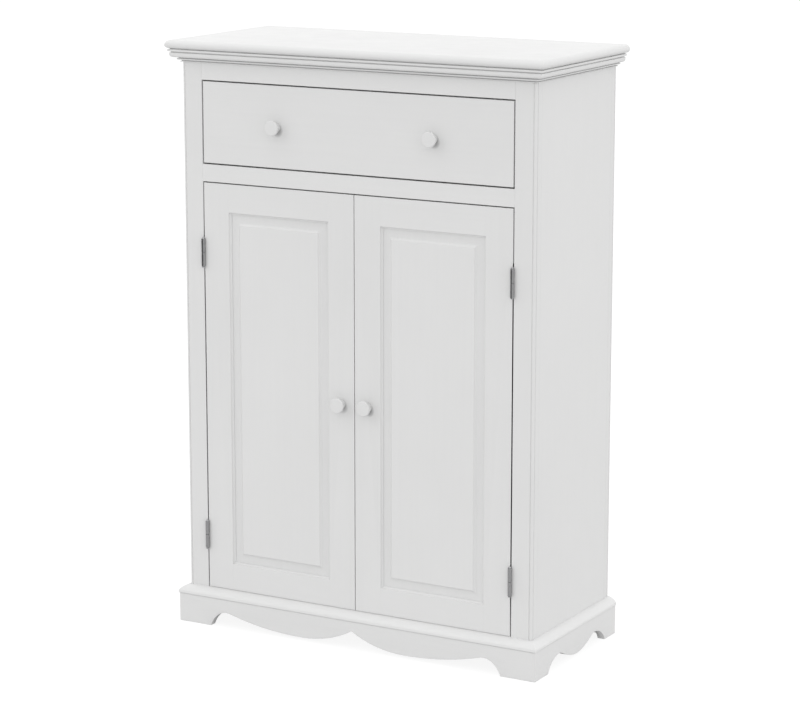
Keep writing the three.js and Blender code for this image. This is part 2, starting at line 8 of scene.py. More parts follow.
import bmesh
import bpy
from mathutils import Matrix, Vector


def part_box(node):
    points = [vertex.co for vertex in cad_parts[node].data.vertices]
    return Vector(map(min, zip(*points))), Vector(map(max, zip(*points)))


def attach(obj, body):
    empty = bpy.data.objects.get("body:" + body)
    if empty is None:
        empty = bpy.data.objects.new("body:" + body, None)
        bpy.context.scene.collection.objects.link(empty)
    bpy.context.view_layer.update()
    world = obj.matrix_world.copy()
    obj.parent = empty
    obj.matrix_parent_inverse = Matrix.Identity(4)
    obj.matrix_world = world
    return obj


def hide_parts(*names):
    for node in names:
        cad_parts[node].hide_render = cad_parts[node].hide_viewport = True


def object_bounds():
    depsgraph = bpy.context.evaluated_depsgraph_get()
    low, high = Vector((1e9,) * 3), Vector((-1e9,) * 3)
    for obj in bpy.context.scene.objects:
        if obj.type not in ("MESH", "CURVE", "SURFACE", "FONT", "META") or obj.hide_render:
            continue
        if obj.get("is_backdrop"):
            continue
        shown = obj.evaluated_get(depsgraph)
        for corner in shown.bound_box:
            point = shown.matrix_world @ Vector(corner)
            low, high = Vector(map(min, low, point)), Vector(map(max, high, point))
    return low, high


bl_info = {
    "name": "Painted cabinet",
    "version": (1, 0, 0),
    "blender": (4, 5, 0),
    "location": "View3D > Sidebar > Cabinet",
    "description": "Builds a painted cabinet with a drawer, panelled doors and moulded trim",
    "category": "Object",
}

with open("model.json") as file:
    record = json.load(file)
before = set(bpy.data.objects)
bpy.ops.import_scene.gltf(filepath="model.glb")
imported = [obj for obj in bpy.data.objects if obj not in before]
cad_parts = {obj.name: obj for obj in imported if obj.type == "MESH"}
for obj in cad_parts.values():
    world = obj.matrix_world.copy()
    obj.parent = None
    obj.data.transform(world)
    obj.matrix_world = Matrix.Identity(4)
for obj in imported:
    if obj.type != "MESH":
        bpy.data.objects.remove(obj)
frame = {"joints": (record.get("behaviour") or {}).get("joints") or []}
CAD_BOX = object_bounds()

MM = 0.001
# Lengths too short to matter: between points that are welded, and between places that agree.
TINY, SAME = 1e-7, 1e-6
SIDES = {"left": -1, "right": 1}
QUARTER = math.pi / 2

# ---- places taken from the frame ----
CASE_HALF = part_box("side_panel_right")[1].x
CASE_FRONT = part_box("middle_rail")[0].y
CASE_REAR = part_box("rear_post_left")[1].y
OPENING_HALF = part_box("middle_rail")[1].x
TOP_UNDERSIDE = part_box("top_panel")[0].z
PLINTH_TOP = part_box("plinth_front")[1].z
CAP_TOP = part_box("plinth_cap_front")[1].z
# Each knob's node and the body it is fixed to.
KNOBS = {f"drawer_knob_{name}": "drawer" for name in SIDES}
KNOBS.update({f"{name}_door_knob": f"{name}_door" for name in SIDES})


# ---- settings ----
LENGTH = {"min": 0.0, "precision": 5, "unit": "LENGTH"}
COLOUR = {"min": 0.0, "max": 1.0, "subtype": "COLOR"}
SHARE = {"min": 0.0, "max": 1.0, "subtype": "FACTOR"}


class CabinetSizes(bpy.types.PropertyGroup):
    """Sizes of the fine detail that the frame leaves out."""

    board_edge: bpy.props.FloatProperty(
        name="Board edge",
        description="Rounding of the sawn edges of boards and rails",
        default=0.6 * MM,
        **LENGTH,
    )
    seam_edge: bpy.props.FloatProperty(
        name="Seam edge",
        description="Rounding of edges that meet in a joint, which leaves a fine line there",
        default=0.3 * MM,
        **LENGTH,
    )
    top_corner: bpy.props.FloatProperty(
        name="Top board corner",
        description="Rounding in plan of the top board's front corners",
        default=3.0 * MM,
        **LENGTH,
    )
    bead_radius: bpy.props.FloatProperty(
        name="Corner bead",
        description="Radius of the bead on the outer corner of each stile and post",
        default=3.4 * MM,
        **LENGTH,
    )
    quirk_width: bpy.props.FloatProperty(
        name="Quirk width",
        description="Width of the fine groove on each side of a corner bead",
        default=1.5 * MM,
        **LENGTH,
    )
    quirk_depth: bpy.props.FloatProperty(
        name="Quirk depth",
        description="Depth of the fine groove on each side of a corner bead",
        default=0.9 * MM,
        **LENGTH,
    )
    door_edge: bpy.props.FloatProperty(
        name="Door edge",
        description="Rounding of the outer edges of each door",
        default=1.2 * MM,
        **LENGTH,
    )
    sticking: bpy.props.FloatProperty(
        name="Sticking",
        description="Width and depth of the rounded inner edge of a door frame",
        default=3.0 * MM,
        **LENGTH,
    )
    field_edge: bpy.props.FloatProperty(
        name="Field edge",
        description="Rounding where a raised field meets its hollow",
        default=0.5 * MM,
        **LENGTH,
    )


class CabinetFinish(bpy.types.PropertyGroup):
    """Colours and roughness of the finishes."""

    paint: bpy.props.FloatVectorProperty(
        name="Paint",
        description="Colour of the satin paint outside",
        default=(0.72, 0.72, 0.718),
        **COLOUR,
    )
    inside_paint: bpy.props.FloatVectorProperty(
        name="Inside paint",
        description="Colour of the flatter paint on the boards inside",
        default=(0.69, 0.69, 0.683),
        **COLOUR,
    )
    hardboard: bpy.props.FloatVectorProperty(
        name="Hardboard",
        description="Colour of the back panel and the drawer bottom",
        default=(0.66, 0.658, 0.646),
        **COLOUR,
    )
    hinge_steel: bpy.props.FloatVectorProperty(
        name="Hinge steel",
        description="Colour of the satin nickel on the hinges",
        default=(0.38, 0.38, 0.385),
        **COLOUR,
    )
    plated_steel: bpy.props.FloatVectorProperty(
        name="Plated steel",
        description="Colour of the pins, plates, nails and screws",
        default=(0.62, 0.62, 0.63),
        **COLOUR,
    )
    catch_plastic: bpy.props.FloatVectorProperty(
        name="Catch plastic",
        description="Colour of the magnetic catch's housing",
        default=(0.72, 0.72, 0.71),
        **COLOUR,
    )
    paint_roughness: bpy.props.FloatProperty(
        name="Paint roughness",
        description="Middle of the paint's roughness",
        default=0.42,
        **SHARE,
    )


class CabinetStage(bpy.types.PropertyGroup):
    """Light, floor and camera."""

    sky: bpy.props.FloatProperty(
        name="Sky",
        description="Strength of the even light from all round",
        default=1.165,
        min=0.0,
    )
    key_power: bpy.props.FloatProperty(
        name="Key power",
        description="Power of the large soft lamp at the upper left",
        default=4.0,
        min=0.0,
        unit="POWER",
    )
    bounce: bpy.props.FloatProperty(
        name="Bounce",
        description="How much of the light that reaches the floor comes back up",
        default=0.67,
        **SHARE,
    )
    lens: bpy.props.FloatProperty(
        name="Lens",
        description="Focal length on a sensor 36 mm wide",
        default=124.5,
        min=1.0,
        unit="CAMERA",
    )


# ---- outlines ----
def arc(cu, cv, ru, rv, start, end, steps):
    """Points of an ellipse's arc from one angle to another."""
    points = []
    for i in range(steps + 1):
        t = start + (end - start) * i / steps
        points.append((cu + ru * math.cos(t), cv + rv * math.sin(t)))
    return points


def quarter_turn(steps):
    """Angles from nothing to a right angle, in even steps."""
    return [QUARTER * i / steps for i in range(steps + 1)]


def cubic(p0, p1, p2, p3, steps):
    """Points of a cubic curve, without its first."""
    points = []
    for i in range(1, steps + 1):
        t = i / steps
        s = 1 - t
        points.append(
            tuple(
                s**3 * a + 3 * s * s * t * b + 3 * s * t * t * c + t**3 * d
                for a, b, c, d in zip(p0, p1, p2, p3)
            )
        )
    return points


# ---- meshes ----
# An outline's two numbers are (y, z) for a prism along x, (x, z) along y and (x, y) along z.
def point_on(axis, along, u, v):
    if axis == "x":
        return (along, u, v)
    if axis == "y":
        return (u, along, v)
    return (u, v, along)


def add_prism(bm, outline, axis, start, end):
    """Extrudes an outline. start and end are places along the axis, or functions of a point of the
    outline, which cut the ends on a mitre."""
    at = [w if callable(w) else (lambda u, v, w=w: w) for w in (start, end)]
    rings = [
        [bm.verts.new(point_on(axis, place(u, v), u, v)) for u, v in outline]
        for place in at
    ]
    first, last = rings
    count = len(outline)
    for i in range(count):
        j = (i + 1) % count
        bm.faces.new((first[i], first[j], last[j], last[i]))
    bm.faces.new(first)
    bm.faces.new(list(reversed(last)))


def add_block(bm, lo, hi):
    outline = [(lo[0], lo[1]), (hi[0], lo[1]), (hi[0], hi[1]), (lo[0], hi[1])]
    add_prism(bm, outline, "z", lo[2], hi[2])


AXES = {
    "x": (Vector((0, 1, 0)), Vector((0, 0, 1)), Vector((1, 0, 0))),
    "-x": (Vector((0, 1, 0)), Vector((0, 0, 1)), Vector((-1, 0, 0))),
    "y": (Vector((0, 0, 1)), Vector((1, 0, 0)), Vector((0, 1, 0))),
    "-y": (Vector((0, 0, 1)), Vector((1, 0, 0)), Vector((0, -1, 0))),
    "z": (Vector((1, 0, 0)), Vector((0, 1, 0)), Vector((0, 0, 1))),
    "-z": (Vector((1, 0, 0)), Vector((0, 1, 0)), Vector((0, 0, -1))),
}


def add_turned(bm, profile, origin, axis, segments=48):
    """Turns a profile of (radius, height) about an axis through origin."""
    across, up, along = AXES[axis]
    base = Vector(origin)
    rings = []
    for radius, height in profile:
        middle = base + along * height
        if radius < TINY:
            rings.append([bm.verts.new(middle)])
            continue
        ring = []
        for i in range(segments):
            t = 2 * math.pi * i / segments
            out = across * math.cos(t) + up * math.sin(t)
            ring.append(bm.verts.new(middle + out * radius))
        rings.append(ring)
    for low, high in zip(rings, rings[1:]):
        for i in range(segments):
            j = (i + 1) % segments
            corners = [low[i % len(low)], low[j % len(low)]]
            corners += [high[j % len(high)], high[i % len(high)]]
            unique = list(dict.fromkeys(corners))
            if len(unique) > 2:
                bm.faces.new(unique)
    for ring in (rings[0], rings[-1]):
        if len(ring) > 1:
            bm.faces.new(ring)


def finish_piece(
    name, bm, finish, body="carcass", nodes=(), bevel=0.0, steps=3, angle=28.0, ease=None
):
    """Makes a bmesh into a piece that rides on a body and stands for CAD nodes. Its finish is a
    material and a slot; the slot is not used. Edges sharper than the angle are sharp, and take
    the bevel; ease gives the share of the bevel that an edge takes, where they aren't all the
    same."""
    material, slot = finish
    bmesh.ops.remove_doubles(bm, verts=bm.verts, dist=TINY)
    bmesh.ops.recalc_face_normals(bm, faces=bm.faces)
    for face in bm.faces:
        face.smooth = True
    if ease is not None:
        weight = bm.edges.layers.float.new("bevel_weight_edge")
        for edge in bm.edges:
            if edge.is_manifold and edge.calc_face_angle() > math.radians(angle):
                edge[weight] = ease(edge)
    mesh = bpy.data.meshes.new(name)
    bm.to_mesh(mesh)
    bm.free()
    mesh.materials.append(material)
    mesh.set_sharp_from_angle(angle=math.radians(angle))
    piece = bpy.data.objects.new(name, mesh)
    bpy.context.scene.collection.objects.link(piece)
    if bevel > 0:
        eased = piece.modifiers.new("Eased edges", "BEVEL")
        eased.width = bevel
        eased.segments = steps
        eased.limit_method = "WEIGHT" if ease else "ANGLE"
        eased.angle_limit = math.radians(angle)
        eased.harden_normals = True
    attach(piece, body)
    if nodes:
        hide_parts(*nodes)


# ---- materials ----
class Nodes:
    """Short ways to add shader nodes to one material."""

    def __init__(self, name):
        self.material = bpy.data.materials.new(name)
        self.material.use_nodes = True
        self.tree = self.material.node_tree
        self.shader = self.tree.nodes["Principled BSDF"]
        self.place = self.add("ShaderNodeTexCoord").outputs["Object"]

    def fill(self, node, sockets):
        """Gives each named socket a number or colour, or links it to another node's output."""
        for socket, value in sockets.items():
            if isinstance(value, bpy.types.NodeSocket):
                self.tree.links.new(value, node.inputs[socket])
            else:
                node.inputs[socket].default_value = value

    def surface(self, **sockets):
        """Sets the shader's own sockets. An underscore stands for a space in a socket's name."""
        self.fill(self.shader, {key.replace("_", " "): value for key, value in sockets.items()})

    def add(self, kind, sockets=None, **values):
        node = self.tree.nodes.new(kind)
        for key, value in values.items():
            setattr(node, key, value)
        self.fill(node, sockets or {})
        return node

    def stretched(self, scale):
        sockets = {"Scale": scale, "Vector": self.place}
        return self.add("ShaderNodeMapping", sockets).outputs["Vector"]

    def noise(self, vector, scale, detail=2.0, roughness=0.5):
        sockets = {"Vector": vector, "Scale": scale, "Detail": detail, "Roughness": roughness}
        return self.add("ShaderNodeTexNoise", sockets).outputs["Fac"]

    def ramp(self, value, stops):
        node = self.add("ShaderNodeValToRGB", {"Fac": value})
        elements = node.color_ramp.elements
        while len(elements) < len(stops):
            elements.new(0.5)
        for element, (position, colour) in zip(elements, stops):
            element.position = position
            element.color = (*colour, 1.0)
        return node.outputs["Color"]

    def map_range(self, value, low, high, to_low, to_high):
        sockets = {"Value": value, "From Min": low, "From Max": high}
        sockets.update({"To Min": to_low, "To Max": to_high})
        return self.add("ShaderNodeMapRange", sockets).outputs["Result"]

    def mix(self, factor, first, second, blend="MIX"):
        sockets = {0: factor, 6: first, 7: second}
        node = self.add("ShaderNodeMix", sockets, data_type="RGBA", blend_type=blend)
        return node.outputs[2]

    def times(self, first, second):
        return self.mix(1.0, first, second, blend="MULTIPLY")

    def maths(self, operation, first, second):
        node = self.add("ShaderNodeMath", {0: first, 1: second}, operation=operation)
        return node.outputs["Value"]

    def bump(self, height, distance, strength, normal=None):
        sockets = {"Distance": distance, "Strength": strength, "Height": height}
        if normal is not None:
            sockets["Normal"] = normal
        return self.add("ShaderNodeBump", sockets).outputs["Normal"]


# How much a pattern is drawn out along the grain, for each way a board can run.
GRAIN = {
    "x": (0.03, 1.0, 1.0),
    "y": (1.0, 0.03, 1.0),
    "z": (1.0, 1.0, 0.03),
}
# How fine each pattern is, in repeats to the metre.
BRUSH_LINES, WOOD_GRAIN, ORANGE_PEEL = 700.0, 190.0, 900.0
PAINT_TONE, PAINT_SHEEN = 5.0, 38.0
BOARD_FIBRES, BOARD_TONE, BOARD_FLECKS = 420.0, 7.0, 1300.0
DRAWN_LINES, STEEL_TONE = 2600.0, 160.0
PLASTIC_SPARK, PLASTIC_TONE = 2400.0, 60.0
FLOOR_TONE = 2.0
# How near a neighbour must be for the painted shade in a crevice.
CREVICE_SHADE_REACH = 7.0 * MM
# The painted shadow under a knob: reach of its middle and edge, and the paint's tone in its
# middle.
PAINTED_SHADOW_MIDDLE, PAINTED_SHADOW_EDGE, PAINTED_SHADOW_TONE = 4.5 * MM, 9.5 * MM, 0.42
PAINT_IOR = 1.46


def shade(colour, factor):
    return tuple(min(1.0, c * factor) for c in colour)


def brush_paint(m, colour, roughness, grain, depth=1.0, dust_tone=0.9, dusty=()):
    """Satin paint brushed over a primed board: brush lines and faint grain along the board, a fine
    orange peel, slow changes of tone, a lighter colour on sharp convex edges and painted shade in
    the crevices. The centres given, if any, are the middles of round painted shadows."""
    along = m.stretched(GRAIN[grain])
    brush = m.noise(along, BRUSH_LINES, detail=3.0, roughness=0.6)
    grain_lines = m.noise(along, WOOD_GRAIN, detail=4.0, roughness=0.65)
    peel = m.noise(m.place, ORANGE_PEEL, detail=1.0)
    cloud = m.noise(m.place, PAINT_TONE, detail=3.0, roughness=0.55)
    patch = m.noise(m.place, PAINT_SHEEN)
    tone = m.ramp(cloud, [(0.30, shade(colour, 0.975)), (0.70, shade(colour, 1.012))])
    tone = m.times(tone, m.map_range(grain_lines, 0.30, 0.70, 0.988, 1.008))
    # Painted shade: the colour darkens where other surfaces are near, in crevices, corners and
    # joints.
    hollow = m.add("ShaderNodeAmbientOcclusion", {"Distance": CREVICE_SHADE_REACH}, samples=6)
    tone = m.times(tone, m.map_range(hollow.outputs["AO"], 0.25, 0.85, dust_tone, 1.0))
    # Painted shadow: a round darker spot of colour just under each knob.
    for centre in dusty:
        away = m.add("ShaderNodeVectorMath", {0: m.place, 1: centre}, operation="DISTANCE")
        shadow_falloff = (PAINTED_SHADOW_MIDDLE, PAINTED_SHADOW_EDGE, PAINTED_SHADOW_TONE, 1.0)
        tone = m.times(tone, m.map_range(away.outputs["Value"], *shadow_falloff))
    # The colour is a little lighter on sharp convex edges.
    pointed = m.add("ShaderNodeNewGeometry").outputs["Pointiness"]
    edge = m.map_range(pointed, 0.50, 0.60, 0.0, 0.5)
    worn = m.maths("ADD", m.maths("MULTIPLY", patch, 0.5), m.maths("MULTIPLY", brush, 0.5))
    normal = m.bump(grain_lines, 0.06 * MM * depth, 0.35)
    normal = m.bump(brush, 0.03 * MM * depth, 0.35, normal)
    m.surface(
        Base_Color=m.mix(edge, tone, (*shade(colour, 1.03), 1.0)),
        Roughness=m.map_range(worn, 0.35, 0.65, roughness - 0.07, roughness + 0.07),
        Normal=m.bump(peel, 0.03 * MM * depth, 0.30, normal),
        IOR=PAINT_IOR,
    )


def press_hardboard(m, colour):
    """Painted hardboard: fine fibres in all directions, slow changes of tone and darker flecks."""
    fibres = m.noise(m.place, BOARD_FIBRES, detail=5.0, roughness=0.7)
    cloud = m.noise(m.place, BOARD_TONE)
    flecks = m.noise(m.place, BOARD_FLECKS, detail=1.0)
    tone = m.ramp(cloud, [(0.32, shade(colour, 0.96)), (0.68, shade(colour, 1.01))])
    m.surface(
        Base_Color=m.times(tone, m.map_range(flecks, 0.30, 0.42, 0.955, 1.0)),
        Roughness=m.map_range(fibres, 0.3, 0.7, 0.56, 0.74),
        Normal=m.bump(fibres, 0.1 * MM, 0.4),
    )


def plate_steel(m, colour, roughness):
    """Plated steel with fine drawn lines, slightly dull patches and darker handling marks."""
    lines = m.noise(m.stretched(GRAIN["z"]), DRAWN_LINES, detail=3.0, roughness=0.7)
    patch = m.noise(m.place, STEEL_TONE, detail=3.0)
    stops = [(0.30, shade(colour, 0.93)), (0.62, colour), (0.85, shade(colour, 1.05))]
    dull = m.maths("ADD", lines, patch)
    m.surface(
        Base_Color=m.times(m.ramp(patch, stops), m.map_range(lines, 0.3, 0.7, 0.93, 1.04)),
        Roughness=m.map_range(dull, 0.7, 1.3, roughness - 0.06, roughness + 0.1),
        Normal=m.bump(lines, 0.02 * MM, 0.4),
        Metallic=1.0,
    )


def mould_plastic(m, colour):
    """Moulded plastic with a fine spark texture."""
    spark = m.noise(m.place, PLASTIC_SPARK)
    cloud = m.noise(m.place, PLASTIC_TONE)
    m.surface(
        Base_Color=m.ramp(cloud, [(0.3, shade(colour, 0.97)), (0.7, shade(colour, 1.01))]),
        Roughness=m.map_range(spark, 0.3, 0.7, 0.42, 0.56),
        Normal=m.bump(spark, 0.04 * MM, 0.4),
    )


# ---- finishes: each is a material and the slot that it belongs to ----
def finish_of(name, slot, make, *values, **choices):
    """The named finish. Its material is made the first time that it is asked for."""
    material = bpy.data.materials.get(name)
    if material is None:
        m = Nodes(name)
        make(m, *values, **choices)
        material = m.material
    return material, slot


def finishes():
    return bpy.context.scene.cabinet_finish


def white_paint(name, grain, tint=1.0, **choices):
    colour = shade(tuple(finishes().paint), tint)
    roughness = finishes().paint_roughness
    return finish_of(name, "white_paint", brush_paint, colour, roughness, grain, **choices)


def painted(grain):
    return white_paint(f"White paint along {grain}", grain)


def cap_paint_lightened(grain):
    """Base moulding paint: three per cent lighter, a painted light, and no painted crevice shade.
    """
    return white_paint(f"White paint rubbed clean along {grain}", grain, tint=1.03, dust_tone=1.0)


def paint_with_knob_shadows(grain):
    """Paint of the wood that carries knobs, with a painted shadow just under each of them."""
    centres = []
    for node in KNOBS:
        lo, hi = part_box(node)
        centres.append(((lo.x + hi.x) / 2 + 1.5 * MM, hi.y, (lo.z + hi.z) / 2 - 5.0 * MM))
    return white_paint(f"White paint behind knobs along {grain}", grain, dusty=centres)


def knob_paint_with_more_shade():
    """The knobs' paint, with a deeper painted shade in the hollow behind the head."""
    return white_paint("White paint on knobs", "y", dust_tone=0.25)


def inside_painted(grain):
    """The rougher and more deeply brushed paint inside."""
    name, colour = f"Inside paint along {grain}", tuple(finishes().inside_paint)
    rougher = finishes().paint_roughness + 0.13
    return finish_of(name, "inside_paint", brush_paint, colour, rougher, grain, depth=1.6)


def hardboard():
    colour = tuple(finishes().hardboard)
    return finish_of("Hardboard", "white_hardboard", press_hardboard, colour)


def plated():
    colour = tuple(finishes().plated_steel)
    return finish_of("Plated steel", "plated_steel", plate_steel, colour, 0.3)


def hinge_steel():
    return finish_of("Hinge steel", "hinge_steel", plate_steel, tuple(finishes().hinge_steel), 0.2)


def catch_plastic():
    colour = tuple(finishes().catch_plastic)
    return finish_of("Catch housing", "catch_plastic", mould_plastic, colour)


# ---- pieces ----
BOX_EDGE = 1.2 * MM  # the handled edges of the drawer's box
DRAWER_FRONT_EDGE = 0.9 * MM
THIN_BOARD_EDGE = 0.3 * MM
SHELF_HOLE_PITCH = 64.0 * MM


def sizes():
    return bpy.context.scene.cabinet_sizes


def board(node, finish, body="carcass", edge=None):
    """A plain board in its node's own place, with eased edges."""
    bm = bmesh.new()
    add_block(bm, *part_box(node))
    bevel = sizes().board_edge if edge is None else edge
    finish_piece(f"{node}_board", bm, finish, body, [node], bevel=bevel)


def side_order(lo, hi, side):
    """A box's inner and outer x, for a piece on one side of the cabinet."""
    return (lo.x, hi.x) if side > 0 else (hi.x, lo.x)


def inward(side):
    """The name of the axis that points to the middle of the cabinet."""
    return "-x" if side > 0 else "x"


class CABINET_OT_top_board(bpy.types.Operator):
    """Add the top board with its rounded nose on the front and both ends"""

    bl_idname = "cabinet.top_board"
    bl_label = "Top board"

    def execute(self, context):
        lo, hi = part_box("top_panel")
        upper, lower, under = 7.0 * MM, 5.0 * MM, 7.5 * MM
        waist = hi.z - upper
        # (how far in from the outermost edge, height), from the underside up to the top
        nose = arc(under, waist, -under, lower, -QUARTER, 0.0, 10)
        nose += arc(upper, waist, -upper, upper, 0.0, QUARTER, 14)[1:]
        corner = sizes().top_corner
        turn = [(corner * (1 - math.cos(t)), corner * (1 - math.sin(t))) for t in quarter_turn(6)]
        bm = bmesh.new()
        rings = []
        for inset, z in nose:
            x0, x1, y0 = lo.x + inset, hi.x - inset, lo.y + inset
            plan = [(x0, hi.y)]
            plan += [(x0 + a, y0 + b) for a, b in turn]
            plan += [(x1 - b, y0 + a) for a, b in turn]
            plan += [(x1, hi.y)]
            rings.append([bm.verts.new((x, y, z)) for x, y in plan])
        for low, high in zip(rings, rings[1:]):
            for i in range(len(low) - 1):
                bm.faces.new((low[i], low[i + 1], high[i + 1], high[i]))
        bm.faces.new(rings[-1])
        bm.faces.new(list(reversed(rings[0])))
        bm.faces.new([ring[0] for ring in rings] + [ring[-1] for ring in reversed(rings)])
        finish_piece("top_board", bm, painted("x"), nodes=["top_panel"], angle=50.0)
        return {"FINISHED"}


def add_moulding(bm, place, profile):
    """A length of moulding round the case, with mitres at the front corners. The profile is a list
    of (projection, height)."""
    if place == "front":
        outline = [(CASE_FRONT - out, z) for out, z in profile]

        def left_end(y, z):
            return -CASE_HALF - (CASE_FRONT - y)

        def right_end(y, z):
            return CASE_HALF + (CASE_FRONT - y)

        add_prism(bm, outline, "x", left_end, right_end)
        return
    side = SIDES[place]
    outline = [(side * (CASE_HALF + out), z) for out, z in profile]
    add_prism(bm, outline, "y", lambda x, z: CASE_FRONT - (abs(x) - CASE_HALF), CASE_REAR)


def cornice_profile():
    """Fillet, quirk, ovolo, quirk, bead, groove and a small lip, from the top board down."""
    top = TOP_UNDERSIDE
    fillet, ovolo, bead = 15.25 * MM, 13.25 * MM, 5.8 * MM
    behind_fillet, quirk, low_quirk, groove = 12.4 * MM, 11.6 * MM, 3.6 * MM, 0.4 * MM
    soft, ovolo_centre, ovolo_height = 0.8 * MM, 8.0 * MM, 4.1 * MM
    foot = top - 19.0 * MM
    points = [(0.0, top), (behind_fillet, top), (behind_fillet, top - 0.8 * MM)]
    points += arc(fillet - soft, top - 0.9 * MM - soft, soft, soft, QUARTER, 0.0, 4)
    points += arc(fillet - soft, top - 3.9 * MM + soft, soft, soft, 0.0, -QUARTER, 4)
    points += [(quirk, top - 4.1 * MM), (quirk, top - 5.4 * MM)]
    points += arc(ovolo - soft, top - 5.5 * MM - soft, soft, soft, QUARTER, 0.0, 4)
    ovolo_width = ovolo - ovolo_centre
    points += arc(ovolo_centre, top - 8.5 * MM, ovolo_width, ovolo_height, 0.0, -QUARTER, 8)
    points += [(low_quirk, top - 12.6 * MM), (low_quirk, top - 13.6 * MM)]
    points += [(bead - 0.7 * MM, top - 13.9 * MM), (bead, top - 14.4 * MM)]
    points += [(bead - 0.2 * MM, top - 15.4 * MM), (bead - 1.0 * MM, top - 16.2 * MM)]
    points += [(groove, top - 16.3 * MM), (groove, top - 17.9 * MM)]
    points += [(2.0 * MM, top - 17.9 * MM), (2.3 * MM, top - 18.3 * MM)]
    points += [(1.9 * MM, foot), (0.0, foot)]
    return points


def cap_profile():
    """The base moulding: a square lower edge under a long soft curve."""
    low, high, shoulder = PLINTH_TOP, CAP_TOP + 2.4 * MM, PLINTH_TOP + 4.4 * MM
    reach, soft = 12.75 * MM, 0.8 * MM
    start = (reach, shoulder - 0.5 * MM)
    handles = ((reach - 1.2 * MM, shoulder + 1.8 * MM), (7.0 * MM, high - 1.3 * MM))
    points = [(0.0, low)]
    points += arc(reach - soft, low + soft, soft, soft, -QUARTER, 0.0, 3)
    points.append(start)
    points += cubic(start, *handles, (1.0 * MM, high), 14)
    points.append((0.0, high))
    return points


class CABINET_OT_mouldings(bpy.types.Operator):
    """Add the cornice under the top board and the base moulding on the plinth"""

    bl_idname = "cabinet.mouldings"
    bl_label = "Mouldings"

    def execute(self, context):
        kinds = (("cornice", cornice_profile(), painted), ("plinth_cap", cap_profile(), cap_paint_lightened))
        for kind, profile, paint in kinds:
            for place in ("front", "left", "right"):
                node = f"{kind}_{place}"
                finish = paint("x" if place == "front" else "y")
                bm = bmesh.new()
                add_moulding(bm, place, profile)
                finish_piece(f"{node}_moulding", bm, finish, nodes=[node], angle=35.0)
        return {"FINISHED"}


def beaded_corner(bead, quirk, depth):
    """A corner bead's outline, from the face round to the side, as (in from the corner, back from
    the face): a groove, the bead and another groove."""
    wide, narrow = bead + quirk * 0.7, bead + quirk * 0.3
    points = [(bead + quirk, 0.0), (wide, depth), (narrow, depth)]
    points += [(bead * (1 - math.sin(t)), bead * (1 - math.cos(t))) for t in quarter_turn(12)]
    points += [(depth, narrow), (depth, wide), (0.0, bead + quirk)]
    return points


class CABINET_OT_uprights(bpy.types.Operator):
    """Add the front stiles, rear posts and side panels"""

    bl_idname = "cabinet.uprights"
    bl_label = "Uprights"

    def execute(self, context):
        s = sizes()
        corner = beaded_corner(s.bead_radius, s.quirk_width, s.quirk_depth)
        panel_lo, panel_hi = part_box("back_panel")
        rebate_x, rebate_y = panel_hi.x + 0.5 * MM, panel_lo.y
        for name, side in SIDES.items():
            node = f"front_stile_{name}"
            lo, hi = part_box(node)
            inner, outer = side_order(lo, hi, side)
            plan = [(inner, lo.y)]
            plan += [(outer - side * inset, lo.y + back) for inset, back in corner]
            plan += [(outer, hi.y), (inner, hi.y)]
            self.upright(node, plan, 50.0)
            node = f"rear_post_{name}"
            lo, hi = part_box(node)
            inner, outer = side_order(lo, hi, side)
            plan = [(inner, lo.y), (outer, lo.y)]
            plan += [(outer - side * inset, hi.y - back) for inset, back in reversed(corner)]
            plan += [(side * rebate_x, hi.y), (side * rebate_x, rebate_y), (inner, rebate_y)]
            self.upright(node, plan, 55.0)
            self.side_panel(name, side)
        return {"FINISHED"}

    def upright(self, node, plan, angle):
        lo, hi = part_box(node)
        edges = {"bevel": sizes().seam_edge, "steps": 2, "angle": angle}
        bm = bmesh.new()
        add_prism(bm, plan, "z", lo.z, hi.z)
        finish_piece(f"{node}_board", bm, painted("z"), nodes=[node], **edges)

    def side_panel(self, name, side):
        """The side panel, with plated eyelets round its shelf holes."""
        node = f"side_panel_{name}"
        board(node, painted("z"), edge=sizes().seam_edge)
        face = side_order(*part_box(node), side)[0]
        pin_lo, pin_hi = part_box(f"shelf_pin_{name}_front")
        pin_z = (pin_lo.z + pin_hi.z) / 2
        eyelet = [(3.6 * MM, 0.0), (3.1 * MM, 0.25 * MM), (2.6 * MM, 0.0)]
        bm = bmesh.new()
        for end in ("front", "rear"):
            lo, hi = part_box(f"shelf_pin_{name}_{end}")
            for step in (-1, 0, 1):
                origin = (face, (lo.y + hi.y) / 2, pin_z + step * SHELF_HOLE_PITCH)
                add_turned(bm, eyelet, origin, inward(side), 24)
        finish_piece(f"shelf_sockets_{name}", bm, plated())


class CABINET_OT_rails(bpy.types.Operator):
    """Add the top rail and the middle rail"""

    bl_idname = "cabinet.rails"
    bl_label = "Rails"

    def execute(self, context):
        for node in ("top_rail", "middle_rail"):
            board(node, painted("x"), edge=sizes().seam_edge)
        return {"FINISHED"}


